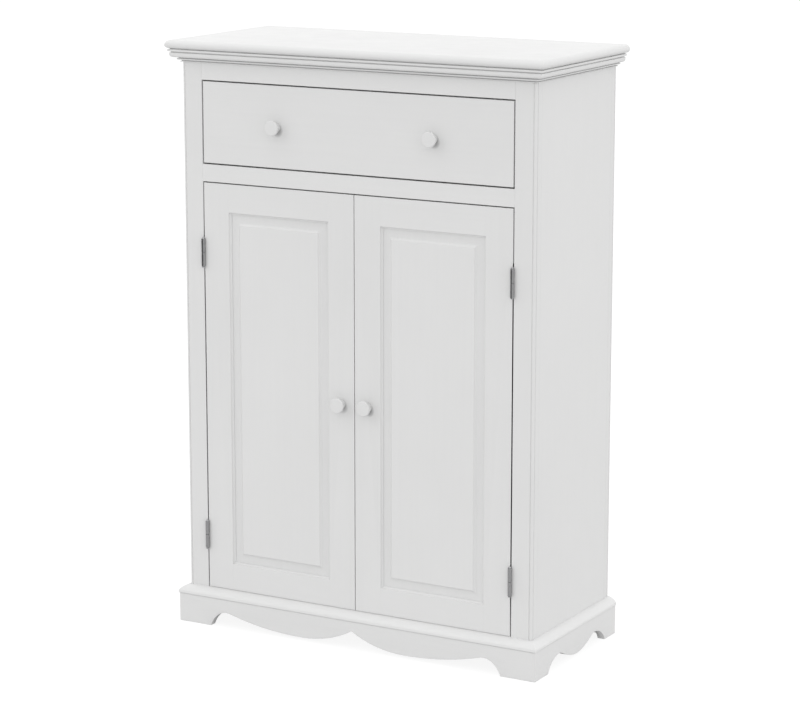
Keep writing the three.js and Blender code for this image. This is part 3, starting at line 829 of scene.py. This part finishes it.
class CABINET_OT_inside_boards(bpy.types.Operator):
    """Add the bottom, divider, shelf and back panel with its nails"""

    bl_idname = "cabinet.inside_boards"
    bl_label = "Inside boards"

    def execute(self, context):
        edge = sizes().board_edge
        stile_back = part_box("front_stile_right")[1].y
        post_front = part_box("rear_post_right")[0].y
        # The bottom board comes a little closer to the doors than its collision shape does.
        for node, lift in (("bottom_panel", 0.6 * MM), ("divider_panel", 0.0)):
            lo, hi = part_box(node)
            half = []
            if lo.y < stile_back - MM:
                half = [(OPENING_HALF, lo.y), (OPENING_HALF, stile_back)]
            half += [(hi.x, stile_back), (hi.x, post_front)]
            half += [(OPENING_HALF, post_front), (OPENING_HALF, hi.y)]
            plan = half + [(-x, y) for x, y in reversed(half)]
            bm = bmesh.new()
            add_prism(bm, plan, "z", lo.z, hi.z + lift)
            finish_piece(f"{node}_board", bm, inside_painted("x"), nodes=[node], bevel=edge)
        board("shelf", inside_painted("x"))
        board("back_panel", hardboard(), edge=THIN_BOARD_EDGE)
        self.nails()
        return {"FINISHED"}

    def nails(self):
        """Small domed nails round the edge of the back panel."""
        lo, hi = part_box("back_panel")
        inset, pitch, radius = 6.0 * MM, 95.0 * MM, 1.9 * MM
        dome = [(0.0, 0.65 * MM), (radius * 0.4, 0.6 * MM), (radius * 0.8, 0.4 * MM)]
        dome += [(radius, 0.0), (0.0, 0.0)]
        rows = max(2, round((hi.z - lo.z) / pitch))
        columns = max(2, round((hi.x - lo.x) / pitch))
        places = []
        for i in range(rows + 1):
            z = lo.z + inset + (hi.z - lo.z - 2 * inset) * i / rows
            places += [(x, z) for x in (lo.x + inset, hi.x - inset)]
        for i in range(1, columns):
            x = lo.x + inset + (hi.x - lo.x - 2 * inset) * i / columns
            places += [(x, z) for z in (lo.z + inset, hi.z - inset)]
        bm = bmesh.new()
        for x, z in places:
            add_turned(bm, dome, (x, hi.y, z), "y", 16)
        finish_piece("back_panel_nails", bm, plated())


def pin_profile():
    """A shelf pin from its buried end out: shank, collar, and the peg that the shelf lies on."""
    shank, collar, buried, end = 2.5 * MM, 4.0 * MM, -8.0 * MM, 8.25 * MM
    profile = [(0.0, buried), (shank, buried), (shank, 0.25 * MM)]
    profile += [(collar - 0.3 * MM, 0.3 * MM), (collar, 0.6 * MM), (collar, 1.2 * MM)]
    profile += [(collar - 0.3 * MM, 1.5 * MM), (shank, 1.55 * MM), (shank, 7.4 * MM)]
    profile += [(shank - 0.4 * MM, 8.0 * MM), (shank - 1.0 * MM, end), (0.0, end)]
    return profile


class CABINET_OT_shelf_pins(bpy.types.Operator):
    """Add the four pins that hold the shelf"""

    bl_idname = "cabinet.shelf_pins"
    bl_label = "Shelf pins"

    def execute(self, context):
        for name, side in SIDES.items():
            face = side_order(*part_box(f"side_panel_{name}"), side)[0]
            for end in ("front", "rear"):
                node = f"shelf_pin_{name}_{end}"
                lo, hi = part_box(node)
                origin = (face, (lo.y + hi.y) / 2, (lo.z + hi.z) / 2)
                bm = bmesh.new()
                add_turned(bm, pin_profile(), origin, inward(side), 28)
                finish_piece(f"{node}_turned", bm, plated(), nodes=[node])
        return {"FINISHED"}


# ---- plinth ----
# Where the last handle of a scallop's curve stands, back from the foot and up from the floor.
FOOT_HANDLE_BACK = 3.25 * MM
FOOT_HANDLE_UP = 12.25 * MM
SIDE_CENTRE = CASE_FRONT + 121.0 * MM
NEAR = 0.1 * MM


def scallop(keys, foot, rounding, steps=16):
    """Half of a plinth board's lower edge, from its middle out to the foot. Each key is (distance
    from the middle, height, slope). rounding is how far the last slope carries on over the
    arch."""
    edge = [keys[0][:2]]
    for (u0, z0, slope0), (u1, z1, slope1) in zip(keys, keys[1:]):
        third = (u1 - u0) / 3
        handles = ((u0 + third, z0 + slope0 * third), (u1 - third, z1 - slope1 * third))
        edge += cubic((u0, z0), *handles, (u1, z1), steps)
    u, z, slope = keys[-1]
    over = (foot - u) * rounding
    handles = ((u + over, z + slope * over), (foot - FOOT_HANDLE_BACK, FOOT_HANDLE_UP))
    edge += cubic((u, z), *handles, (foot, 0.0), steps)
    return edge


def front_edge():
    keys = ((0.0, 27.75 * MM, -0.58), (86.0 * MM, 5.5 * MM, 0.0), (205.0 * MM, 21.5 * MM, 0.28))
    return scallop(keys, 238.5 * MM, 0.5)


def side_edge():
    return scallop(((0.0, 5.0 * MM, 0.0), (48.0 * MM, 18.75 * MM, 0.48)), 91.0 * MM, 0.35)


def board_outline(centre, edge, start, end, top):
    """A plinth board's outline, with its lower edge mirrored about the centre."""
    left = [(centre - u, z) for u, z in reversed(edge[1:])]
    right = [(centre + u, z) for u, z in edge]
    return [(start, 0.0), *left, *right, (end, 0.0), (end, top), (start, top)]


class CABINET_OT_plinth(bpy.types.Operator):
    """Add the scalloped plinth boards with their bracket feet, and the plain rear board"""

    bl_idname = "cabinet.plinth"
    bl_label = "Plinth"

    def execute(self, context):
        lo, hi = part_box("plinth_front")
        # The mitres at the front corners are closed by the paint.
        front, half = lo.y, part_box("plinth_right")[1].x
        bm = bmesh.new()
        add_prism(bm, board_outline(0.0, front_edge(), -half, half, hi.z), "y", front, hi.y)
        for vert in bm.verts:
            if abs(vert.co.x) > half - NEAR and vert.co.y > hi.y - NEAR:
                vert.co.x = math.copysign(CASE_HALF, vert.co.x)
        self.eased("plinth_front", bm, "x")
        for name, side in SIDES.items():
            lo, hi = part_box(f"plinth_{name}")
            inner, outer = side * CASE_HALF, side_order(lo, hi, side)[1]
            outline = board_outline(SIDE_CENTRE, side_edge(), front, hi.y, hi.z)
            bm = bmesh.new()
            add_prism(bm, outline, "x", min(inner, outer), max(inner, outer))
            for vert in bm.verts:
                if vert.co.y < front + NEAR and abs(vert.co.x - inner) < NEAR:
                    vert.co.y = CASE_FRONT
            self.eased(f"plinth_{name}", bm, "y")
        lo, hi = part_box("plinth_back")
        foot, rise = 40.0 * MM, 15.0 * MM
        half = [(0.0, rise), (hi.x - foot - rise, rise), (hi.x - foot, 0.0)]
        half += [(hi.x, 0.0), (hi.x, hi.z)]
        outline = half + [(-x, z) for x, z in reversed(half[1:])]
        bm = bmesh.new()
        add_prism(bm, outline, "y", lo.y, hi.y)
        self.eased("plinth_back", bm, "x")
        return {"FINISHED"}

    def eased(self, node, bm, grain):
        """Eases every edge but the upright corners of the plinth, where two boards meet."""

        def ease(edge):
            first, second = edge.verts
            upright = abs(first.co.x - second.co.x) + abs(first.co.y - second.co.y) < SAME
            return 0.0 if upright else 1.0

        edges = {"bevel": sizes().board_edge, "ease": ease}
        finish_piece(f"{node}_board", bm, painted(grain), nodes=[node], **edges)


# ---- drawer ----
class CABINET_OT_drawer(bpy.types.Operator):
    """Add the drawer front, its box and the runners it slides on"""

    bl_idname = "cabinet.drawer"
    bl_label = "Drawer"

    def execute(self, context):
        board("drawer_front", paint_with_knob_shadows("x"), "drawer", DRAWER_FRONT_EDGE)
        for node in ("drawer_side_left", "drawer_side_right"):
            board(node, inside_painted("y"), "drawer", BOX_EDGE)
        board("drawer_back", inside_painted("x"), "drawer", BOX_EDGE)
        board("drawer_bottom", hardboard(), "drawer", THIN_BOARD_EDGE)
        for name, side in SIDES.items():
            self.runner(name, side)
        return {"FINISHED"}

    def runner(self, name, side):
        """An L-shaped bar: a ledge under the drawer's side, and a wall beside it."""
        node = f"drawer_runner_{name}"
        lo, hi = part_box(node)
        side_lo, side_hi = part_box(f"drawer_side_{name}")
        wall = side_order(side_lo, side_hi, side)[1] + side * MM
        ledge_edge, wall_edge = side_order(lo, hi, side)
        ledge_top = side_lo.z - 0.5 * MM
        outline = [(ledge_edge, lo.z), (ledge_edge, ledge_top), (wall, ledge_top)]
        outline += [(wall, hi.z), (wall_edge, hi.z), (wall_edge, lo.z)]
        bm = bmesh.new()
        add_prism(bm, outline, "y", lo.y, hi.y)
        bevel = sizes().board_edge
        finish_piece(f"{node}_bar", bm, inside_painted("y"), nodes=[node], bevel=bevel)


def knob_profile():
    """A knob from the wood out: foot, waisted neck, head hollowed behind, flat face."""
    foot, neck, head, length = 6.6 * MM, 4.0 * MM, 10.8 * MM, 15.0 * MM
    soft, rim = 0.4 * MM, 1.6 * MM
    points = [(0.0, 0.0), (foot, 0.0), (foot, 0.6 * MM)]
    points += arc(foot - soft, 0.7 * MM, soft, soft, 0.0, QUARTER, 3)
    handles = ((neck + 0.6 * MM, 1.3 * MM), (neck, 1.9 * MM))
    points += cubic((foot - soft, 1.1 * MM), *handles, (neck, 3.2 * MM), 6)
    points += arc(head - 0.3 * MM, 5.5 * MM, neck - head + 0.3 * MM, 6.0 * MM, 0.0, QUARTER, 12)
    points += arc(head - 0.5 * MM, 12.1 * MM, 0.5 * MM, 0.6 * MM, -QUARTER, 0.0, 4)
    points += arc(head - rim, length - rim, rim, rim, 0.0, QUARTER, 10)
    points += [(3.0 * MM, length + 0.05 * MM), (0.0, length + 0.06 * MM)]
    return points


class CABINET_OT_knobs(bpy.types.Operator):
    """Add the turned knobs of the drawer and the doors"""

    bl_idname = "cabinet.knobs"
    bl_label = "Knobs"

    def execute(self, context):
        for node, body in KNOBS.items():
            lo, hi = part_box(node)
            bm = bmesh.new()
            add_turned(bm, knob_profile(), ((lo.x + hi.x) / 2, hi.y, (lo.z + hi.z) / 2), "-y", 72)
            finish_piece(f"{node}_turned", bm, knob_paint_with_more_shade(), body, [node], angle=40.0)
        return {"FINISHED"}


# ---- doors ----
# The doors stand closer to their openings than the collision shapes do.
LOW_GAIN, HIGH_GAIN, HINGE_GAIN, LOCK_GAIN = 1.0 * MM, 0.3 * MM, 0.3 * MM, 0.2 * MM
# The notch for a hinge: back from the door's face, in from its edge, and half of its length.
NOTCH_BACK, NOTCH_DEPTH, NOTCH_HALF = 0.2 * MM, 3.4 * MM, 26.5 * MM


def sticking_profile(size):
    """The rounded inner edge of a door frame, as (in over the panel, back from the face)."""
    return [(0.0, 0.0)] + [
        (size * (1 - math.cos(t)) * 0.9 + size * 0.1 * t / QUARTER, size * math.sin(t))
        for t in quarter_turn(6)[1:]
    ]


def add_member(bm, place, ends, outer, sight, sight_ends, thickness, profile, notches=()):
    """One member of a door frame. It runs between its ends, and from its outer edge in to the
    sight line. The sticking runs along the sight line between its mitres. place turns (along,
    across, depth) into a point. Notches for hinges are cut in the outer edge, behind its front
    corner."""
    way_in = 1 if sight > outer else -1
    notch_floor = outer + way_in * NOTCH_DEPTH
    sight_start, sight_end = sight_ends

    def vert(u, v, d):
        return bm.verts.new(place(u, v, d))

    corner = {
        (a, b, d): vert(u, v, d * thickness)
        for a, u in enumerate(ends)
        for b, v in enumerate((outer, sight))
        for d in (0, 1)
    }
    rows = []
    for inset, depth in profile + [(profile[-1][0], thickness)]:
        across = sight + way_in * inset
        row_ends = (sight_start + inset, sight_end - inset)
        rows.append([vert(u, across, depth) for u in row_ends])
    back = [vert(u, sight, thickness) for u in sight_ends]
    cuts = [
        {
            (a, floor, rear): vert(u, (outer, notch_floor)[floor], (NOTCH_BACK, thickness)[rear])
            for a, u in enumerate(notch)
            for floor in (0, 1)
            for rear in (0, 1)
        }
        for notch in notches
    ]
    front_face = [corner[0, 0, 0], corner[1, 0, 0], corner[1, 1, 0]]
    front_face += [rows[0][1], rows[0][0], corner[0, 1, 0]]
    faces = [front_face]
    faces += [(low[0], low[1], high[1], high[0]) for low, high in zip(rows, rows[1:])]
    faces += [[row[end_row] for row in rows] + [back[end_row]] for end_row in (0, 1)]
    rear_face, edge_face = [corner[0, 0, 1]], [corner[1, 0, 0], corner[0, 0, 0], corner[0, 0, 1]]
    for cut in cuts:
        rear_face += [cut[0, 0, 1], cut[0, 1, 1], cut[1, 1, 1], cut[1, 0, 1]]
        edge_face += [cut[0, 0, 1], cut[0, 0, 0], cut[1, 0, 0], cut[1, 0, 1]]
        faces.append((cut[0, 1, 0], cut[1, 1, 0], cut[1, 1, 1], cut[0, 1, 1]))
        faces.append((cut[0, 0, 0], cut[1, 0, 0], cut[1, 1, 0], cut[0, 1, 0]))
        faces += [(cut[a, 0, 0], cut[a, 1, 0], cut[a, 1, 1], cut[a, 0, 1]) for a in (0, 1)]
    rear_face += [corner[1, 0, 1], corner[1, 1, 1], back[1]]
    rear_face += [rows[-1][1], rows[-1][0], back[0], corner[0, 1, 1]]
    edge_face.append(corner[1, 0, 1])
    faces += [rear_face, edge_face]
    for a in (0, 1):
        faces.append((corner[a, 0, 0], corner[a, 1, 0], corner[a, 1, 1], corner[a, 0, 1]))
        flank = (corner[a, 1, 0], rows[0][a], back[a], corner[a, 1, 1])
        if (flank[0].co - flank[1].co).length > SAME:
            faces.append(flank)
    for face in faces:
        bm.faces.new(face)


class CABINET_OT_doors(bpy.types.Operator):
    """Add both doors: stiles, rails and raised panels"""

    bl_idname = "cabinet.doors"
    bl_label = "Doors"

    def execute(self, context):
        for name, side in SIDES.items():
            self.door(name, side)
        return {"FINISHED"}

    def door(self, name, side):
        s = sizes()
        body = f"{name}_door"
        hinge_lo, hinge_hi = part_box(f"{body}_hinge_stile")
        lock_lo, lock_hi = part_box(f"{body}_lock_stile")
        front, back = hinge_lo.y, hinge_hi.y
        # The stiles' boxes hold only the wood out to the sight line, so their inner faces are it.
        sight_x = (lock_hi.x, hinge_lo.x) if side > 0 else (hinge_hi.x, lock_lo.x)
        sight_z = (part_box(f"{body}_bottom_rail")[1].z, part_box(f"{body}_top_rail")[0].z)
        low, high = hinge_lo.z - LOW_GAIN, hinge_hi.z + HIGH_GAIN
        left_outer = lock_lo.x - LOCK_GAIN if side > 0 else hinge_lo.x - HINGE_GAIN
        right_outer = hinge_hi.x + HINGE_GAIN if side > 0 else lock_hi.x + LOCK_GAIN

        def upright(u, v, d):
            return (v, front + d, u)

        def level(u, v, d):
            return (u, front + d, v)

        left_node, right_node = ("lock_stile", "hinge_stile")[::side]
        members = (
            (left_node, upright, (low, high), left_outer, sight_x[0], sight_z, "z"),
            (right_node, upright, (low, high), right_outer, sight_x[1], sight_z, "z"),
            ("top_rail", level, sight_x, high, sight_z[1], sight_x, "x"),
            ("bottom_rail", level, sight_x, low, sight_z[0], sight_x, "x"),
        )

        def ease(edge):
            middle = (edge.verts[0].co + edge.verts[1].co) / 2
            to_sides = min(abs(middle.x - left_outer), abs(middle.x - right_outer))
            to_ends = min(abs(middle.z - low), abs(middle.z - high))
            at_face = min(abs(middle.y - front), abs(middle.y - back)) < SAME
            return 1.0 if min(to_sides, to_ends) < SAME and at_face else s.seam_edge / s.door_edge

        notches = []
        for place in ("bottom", "top"):
            leaf_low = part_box(f"{name}_{place}_hinge_frame_leaf")[0].z
            leaf_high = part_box(f"{name}_{place}_hinge_door_leaf")[1].z
            middle = (leaf_low + leaf_high) / 2
            notches.append((middle - NOTCH_HALF, middle + NOTCH_HALF))
        profile, edges = sticking_profile(s.sticking), {"bevel": s.door_edge, "angle": 40.0}
        for node, *shape, grain in members:
            cuts = notches if node == "hinge_stile" else ()
            finish = paint_with_knob_shadows(grain) if node == "lock_stile" else painted(grain)
            nodes = [f"{body}_{node}"]
            bm = bmesh.new()
            add_member(bm, *shape, back - front, profile, cuts)
            finish_piece(f"{body}_{node}_board", bm, finish, body, nodes, ease=ease, **edges)
        self.panel(name, front, sight_x, sight_z)

    def panel(self, name, front, sight_x, sight_z):
        """The raised panel: a flat tongue, a hollow that rises to the field, and the field."""
        node = f"{name}_door_panel"
        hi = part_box(node)[1]
        soft = sizes().field_edge
        tongue, hollow_start, field_edge = -2.0 * MM, 2.0 * MM, 17.25 * MM
        tongue_depth, hollow_depth, field_depth = 3.8 * MM, 4.7 * MM, 1.0 * MM
        start, end = (hollow_start, tongue_depth), (field_edge, field_depth + soft)
        handles = ((9.5 * MM, hollow_depth + 0.3 * MM), (14.6 * MM, hollow_depth))
        profile = [(tongue, hi.y - front), (tongue, tongue_depth), start]
        profile += cubic(start, *handles, end, 16)
        profile.append((field_edge + soft, field_depth))
        bm = bmesh.new()
        rings = []
        for inset, depth in profile:
            x0, x1 = sight_x[0] + inset, sight_x[1] - inset
            z0, z1 = sight_z[0] + inset, sight_z[1] - inset
            corners = ((x0, z0), (x1, z0), (x1, z1), (x0, z1))
            rings.append([bm.verts.new((x, front + depth, z)) for x, z in corners])
        for low, high in zip(rings, rings[1:]):
            for i in range(4):
                j = (i + 1) % 4
                bm.faces.new((low[i], low[j], high[j], high[i]))
        bm.faces.new(rings[-1])
        bm.faces.new(list(reversed(rings[0])))
        finish_piece(f"{node}_board", bm, painted("z"), f"{name}_door", [node], angle=26.0)


# ---- hardware ----
def add_screw(bm, origin, axis, radius):
    """A countersunk screw head: a shallow dome with a socket in its middle."""
    dome = [(0.0, -0.6 * MM), (radius, -0.6 * MM), (radius, 0.0), (radius * 0.85, 0.14 * MM)]
    dome += [(radius * 0.5, 0.22 * MM), (radius * 0.34, 0.24 * MM), (radius * 0.2, -0.35 * MM)]
    dome += [(0.0, -0.45 * MM)]
    add_turned(bm, dome, origin, axis, 20)


KNUCKLE = 2.75 * MM  # radius, and the length of the cap's part of a leaf's box
KNUCKLE_GAP = 0.15 * MM  # half of the gap between the two knuckles
KNUCKLE_SOFT = 0.25 * MM
LEAF_GAP = 0.25 * MM  # half of the gap between the two leaves
DOOR_LEAF_REACH = 1.75 * MM  # how far the door's leaf reaches from the axis
LEAF_EASE, LEAF_SCREW = 0.15 * MM, 2.6 * MM
SCREW_INSET = 8 * MM
PLATE_EASE, PLATE_SCREW = 0.3 * MM, 2.2 * MM


class CABINET_OT_hinges(bpy.types.Operator):
    """Add the four lift-off hinges with their leaves, knuckles, caps and screws"""

    bl_idname = "cabinet.hinges"
    bl_label = "Hinges"

    def execute(self, context):
        for name, side in SIDES.items():
            for place in ("top", "bottom"):
                self.hinge(name, side, place)
        return {"FINISHED"}

    def hinge(self, name, side, place):
        frame_node = f"{name}_{place}_hinge_frame_leaf"
        door_node = f"{name}_{place}_hinge_door_leaf"
        joint = next(j for j in frame["joints"] if j["name"] == f"{name}_door_hinge")
        axis_x, axis_y = joint["pos_m"][:2]
        low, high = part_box(frame_node)[0].z + KNUCKLE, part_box(door_node)[1].z - KNUCKLE
        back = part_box(frame_node)[1].y
        middle = (low + high) / 2
        lower, upper = (low + MM, middle - KNUCKLE_GAP), (middle + KNUCKLE_GAP, high - MM)
        # (node, body, side of the axis that its leaf is on, its outer x, its knuckle, its cap)
        door_outer = abs(axis_x) - DOOR_LEAF_REACH
        leaves = (
            (frame_node, "carcass", side, OPENING_HALF, lower, (low + MM, "-z")),
            (door_node, f"{name}_door", -side, door_outer, upper, (high - MM, "z")),
        )
        for node, body, direction, outer, (start, end), (cap_z, cap_way) in leaves:
            inner_x = axis_x + direction * LEAF_GAP
            x0, x1 = sorted((inner_x, side * outer))
            bm = bmesh.new()
            add_block(bm, (x0, axis_y + KNUCKLE + 0.5 * MM, low), (x1, back, high))
            add_block(bm, (x0, axis_y, start), (x1, axis_y + KNUCKLE + 0.6 * MM, end))
            edges = {"bevel": LEAF_EASE, "steps": 2}
            finish_piece(f"{node}_plate", bm, hinge_steel(), body, [node], **edges)
            bm = bmesh.new()
            throat = KNUCKLE - KNUCKLE_SOFT
            barrel = [(0.0, start), (throat, start), (KNUCKLE, start + KNUCKLE_SOFT)]
            barrel += [(KNUCKLE, end - KNUCKLE_SOFT), (throat, end), (0.0, end)]
            add_turned(bm, barrel, (axis_x, axis_y, 0.0), "z", 40)
            finish_piece(f"{node}_knuckle", bm, hinge_steel(), body, angle=30.0)
            bm = bmesh.new()
            button = [(0.0, 0.0), (1.5 * MM, 0.0), (1.5 * MM, 0.35 * MM), (2.2 * MM, 0.6 * MM)]
            button += arc(0.0, 1.0 * MM, 2.3 * MM, 1.2 * MM, 0.0, QUARTER, 7)
            add_turned(bm, button, (axis_x, axis_y, cap_z), cap_way, 32)
            finish_piece(f"{node}_cap", bm, plated(), body, angle=50.0)
            bm = bmesh.new()
            screw_y = (axis_y + KNUCKLE + back) / 2
            for z in (low + SCREW_INSET, high - SCREW_INSET):
                add_screw(bm, (inner_x, screw_y, z), inward(direction), LEAF_SCREW)
            finish_piece(f"{node}_screws", bm, plated(), body)


class CABINET_OT_catch(bpy.types.Operator):
    """Add the magnetic catch under the divider and the steel plates on the doors"""

    bl_idname = "cabinet.catch"
    bl_label = "Magnetic catch"

    def execute(self, context):
        node = "magnetic_catch"
        lo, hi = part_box(node)
        waist, notch = 3.0 * MM, 6 * MM
        bm = bmesh.new()
        add_block(bm, lo, (-waist, hi.y, hi.z))
        add_block(bm, (waist, lo.y, lo.z), hi)
        add_block(bm, (-waist - MM, lo.y + notch, lo.z), (waist + MM, hi.y, hi.z))
        finish_piece(f"{node}_housing", bm, catch_plastic(), nodes=[node], bevel=0.8 * MM)
        bm = bmesh.new()
        # Two steel poles on each side of the middle, which stand a little out of the housing.
        near, far, proud, let_in, thick = 7 * MM, 21 * MM, 0.4 * MM, 2 * MM, 1.6 * MM
        for side in (-1, 1):
            x0, x1 = sorted((side * near, side * far))
            for z in (lo.z + 7 * MM, lo.z + 13 * MM):
                add_block(bm, (x0, lo.y - proud, z), (x1, lo.y + let_in, z + thick))
        finish_piece(f"{node}_poles", bm, plated(), bevel=0.2 * MM, steps=2)
        for name in SIDES:
            node, body = f"{name}_door_catch_plate", f"{name}_door"
            lo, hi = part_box(node)
            bm = bmesh.new()
            add_block(bm, lo, hi)
            finish_piece(f"{node}_steel", bm, plated(), body, [node], bevel=PLATE_EASE, steps=2)
            bm = bmesh.new()
            add_screw(bm, ((lo.x + hi.x) / 2, hi.y, (lo.z + hi.z) / 2), "y", PLATE_SCREW)
            finish_piece(f"{node}_screw", bm, plated(), body)
        return {"FINISHED"}


# ---- stage ----
FLOOR_HALF = 30.0
# The floors lie just under the feet, one below the other.
SEEN_FLOOR, DARK_FLOOR, BOUNCE_FLOOR = -0.2 * MM, -0.4 * MM, -0.6 * MM
BOUNCE_PAPER = 0.3
LAMP_PLACE, LAMP_TARGET, LAMP_SIZE = (-1.7, -2.1, 2.6), (0.0, 0.0, 0.5), 1.8
FLAG_ENDS, FLAG_HEIGHT = ((2.0, -3.6), (-3.2, -0.3)), 2.4
CAMERA_PLACE = (1.918, -3.3725, 1.222)
CAMERA_TURN, CAMERA_DOWN = math.radians(29.52), math.radians(11.87)
SENSOR_WIDTH = 36.0


def card(name, grey, roughness=0.9, glow=0.0):
    """Plain paper or card for the stage."""
    m = Nodes(name)
    m.surface(Base_Color=(grey, grey, grey, 1.0), Roughness=roughness)
    m.surface(Emission_Color=(1.0, 1.0, 1.0, 1.0), Emission_Strength=glow)
    return m


class CABINET_OT_stage(bpy.types.Operator):
    """Add the pale floor, the soft light and the camera"""

    bl_idname = "cabinet.stage"
    bl_label = "Stage"

    def execute(self, context):
        scene = context.scene
        stage = scene.cabinet_stage
        scene.view_settings.view_transform = "Standard"
        self.floors(stage)
        self.world(scene, stage)
        self.lamp(stage.key_power)
        self.flag()
        self.camera(scene, stage)
        return {"FINISHED"}

    def sheet(self, name, corners, m, unseen_by):
        """One flat face of the stage, hidden from some kinds of light ray."""
        bm = bmesh.new()
        bm.faces.new([bm.verts.new(corner) for corner in corners])
        mesh = bpy.data.meshes.new(name)
        bm.to_mesh(mesh)
        bm.free()
        mesh.materials.append(m.material)
        sheet = bpy.data.objects.new(name, mesh)
        bpy.context.scene.collection.objects.link(sheet)
        sheet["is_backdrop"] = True
        for ray in unseen_by:
            setattr(sheet, f"visible_{ray}", False)

    def level(self, name, lo, hi, z, m, unseen_by):
        corners = ((lo[0], lo[1]), (hi[0], lo[1]), (hi[0], hi[1]), (lo[0], hi[1]))
        self.sheet(name, [(x, y, z) for x, y in corners], m, unseen_by)

    def floors(self, stage):
        """The floor that is seen, one just under it that sends a measured light back up, and a
        dark card under the cabinet. Part of the light from below is the lower floor's own, so
        that the foot of the cabinet is lit as evenly as its head."""
        lo, hi = (-FLOOR_HALF, -FLOOR_HALF), (FLOOR_HALF, FLOOR_HALF)
        paper = card("Floor paper", 0.15, glow=0.9)
        cloud = paper.noise(paper.place, FLOOR_TONE)
        tone = paper.ramp(cloud, [(0.3, (0.14, 0.14, 0.14)), (0.7, (0.16, 0.16, 0.16))])
        paper.surface(Base_Color=tone, Specular_IOR_Level=0.0)
        all_but_camera = ("diffuse", "glossy", "transmission", "shadow")
        self.level("Floor", lo, hi, SEEN_FLOOR, paper, all_but_camera)
        glow = (stage.bounce - BOUNCE_PAPER) * stage.sky
        paper = card("Bounce paper", BOUNCE_PAPER, glow=glow)
        self.level("Floor_bounce", lo, hi, BOUNCE_FLOOR, paper, ("camera",))
        lo, hi = (-CASE_HALF, CASE_FRONT), (CASE_HALF, CASE_REAR)
        dark = card("Dark underside", 0.05)
        self.level("Floor_under_cabinet", lo, hi, DARK_FLOOR, dark, ("camera",))

    def flag(self):
        """A dark card at the front left, seen only in reflections. It gives steel a dark side."""
        corners = [(x, y, 0.0) for x, y in FLAG_ENDS]
        corners += [(x, y, FLAG_HEIGHT) for x, y in reversed(FLAG_ENDS)]
        all_but_glossy = ("camera", "diffuse", "transmission", "shadow")
        self.sheet("Flag", corners, card("Dark card", 0.14, roughness=1.0), all_but_glossy)

    def world(self, scene, stage):
        world = bpy.data.worlds.new("Studio")
        scene.world = world
        world.use_nodes = True
        background = world.node_tree.nodes["Background"]
        background.inputs["Color"].default_value = (1.0, 1.0, 1.0, 1.0)
        background.inputs["Strength"].default_value = stage.sky

    def lamp(self, power):
        light = bpy.data.lights.new("Key", "AREA")
        light.shape = "DISK"
        light.size = LAMP_SIZE
        light.energy = power
        lamp = bpy.data.objects.new("Key", light)
        lamp.location = LAMP_PLACE
        way = Vector(LAMP_TARGET) - Vector(LAMP_PLACE)
        lamp.rotation_euler = way.to_track_quat("-Z", "Y").to_euler()
        lamp.visible_camera = False
        bpy.context.scene.collection.objects.link(lamp)

    def camera(self, scene, stage):
        data = bpy.data.cameras.new("Camera")
        data.sensor_width = SENSOR_WIDTH
        data.lens = stage.lens
        camera = bpy.data.objects.new("Camera", data)
        camera.location = CAMERA_PLACE
        level = math.cos(CAMERA_DOWN)
        left, ahead = math.sin(CAMERA_TURN) * level, math.cos(CAMERA_TURN) * level
        way = Vector((-left, ahead, -math.sin(CAMERA_DOWN)))
        camera.rotation_mode = "QUATERNION"
        camera.rotation_quaternion = way.to_track_quat("-Z", "Y")
        scene.collection.objects.link(camera)
        scene.camera = camera


class CABINET_PT_panel(bpy.types.Panel):
    """Lists the pieces of the cabinet and their settings"""

    bl_label = "Painted cabinet"
    bl_idname = "CABINET_PT_panel"
    bl_space_type = "VIEW_3D"
    bl_region_type = "UI"
    bl_category = "Cabinet"

    def draw(self, context):
        layout = self.layout
        for group in ("cabinet_sizes", "cabinet_finish", "cabinet_stage"):
            values = getattr(context.scene, group)
            box = layout.box()
            for key in values.bl_rna.properties.keys():
                if key not in ("name", "rna_type"):
                    box.prop(values, key)
        for operator in PIECES:
            layout.operator(operator.bl_idname)


PIECES = (
    CABINET_OT_top_board,
    CABINET_OT_mouldings,
    CABINET_OT_uprights,
    CABINET_OT_rails,
    CABINET_OT_inside_boards,
    CABINET_OT_shelf_pins,
    CABINET_OT_plinth,
    CABINET_OT_drawer,
    CABINET_OT_knobs,
    CABINET_OT_doors,
    CABINET_OT_hinges,
    CABINET_OT_catch,
    CABINET_OT_stage,
)
GROUPS = {
    "cabinet_sizes": CabinetSizes,
    "cabinet_finish": CabinetFinish,
    "cabinet_stage": CabinetStage,
}


def register():
    for group in GROUPS.values():
        bpy.utils.register_class(group)
    for key, group in GROUPS.items():
        setattr(bpy.types.Scene, key, bpy.props.PointerProperty(type=group))
    for operator in PIECES:
        bpy.utils.register_class(operator)
    bpy.utils.register_class(CABINET_PT_panel)


def unregister():
    bpy.utils.unregister_class(CABINET_PT_panel)
    for operator in reversed(PIECES):
        bpy.utils.unregister_class(operator)
    for key in GROUPS:
        delattr(bpy.types.Scene, key)
    for group in reversed(list(GROUPS.values())):
        bpy.utils.unregister_class(group)


def main():
    register()
    for operator in PIECES:
        family, name = operator.bl_idname.split(".")
        if getattr(getattr(bpy.ops, family), name)() != {"FINISHED"}:
            raise RuntimeError(f"{operator.bl_label} was not finished")
    boxes = {"cad": CAD_BOX, "visual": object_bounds()}
    {key: [list(corner) for corner in box] for key, box in boxes.items()}


if __name__ == "__main__":
    main()
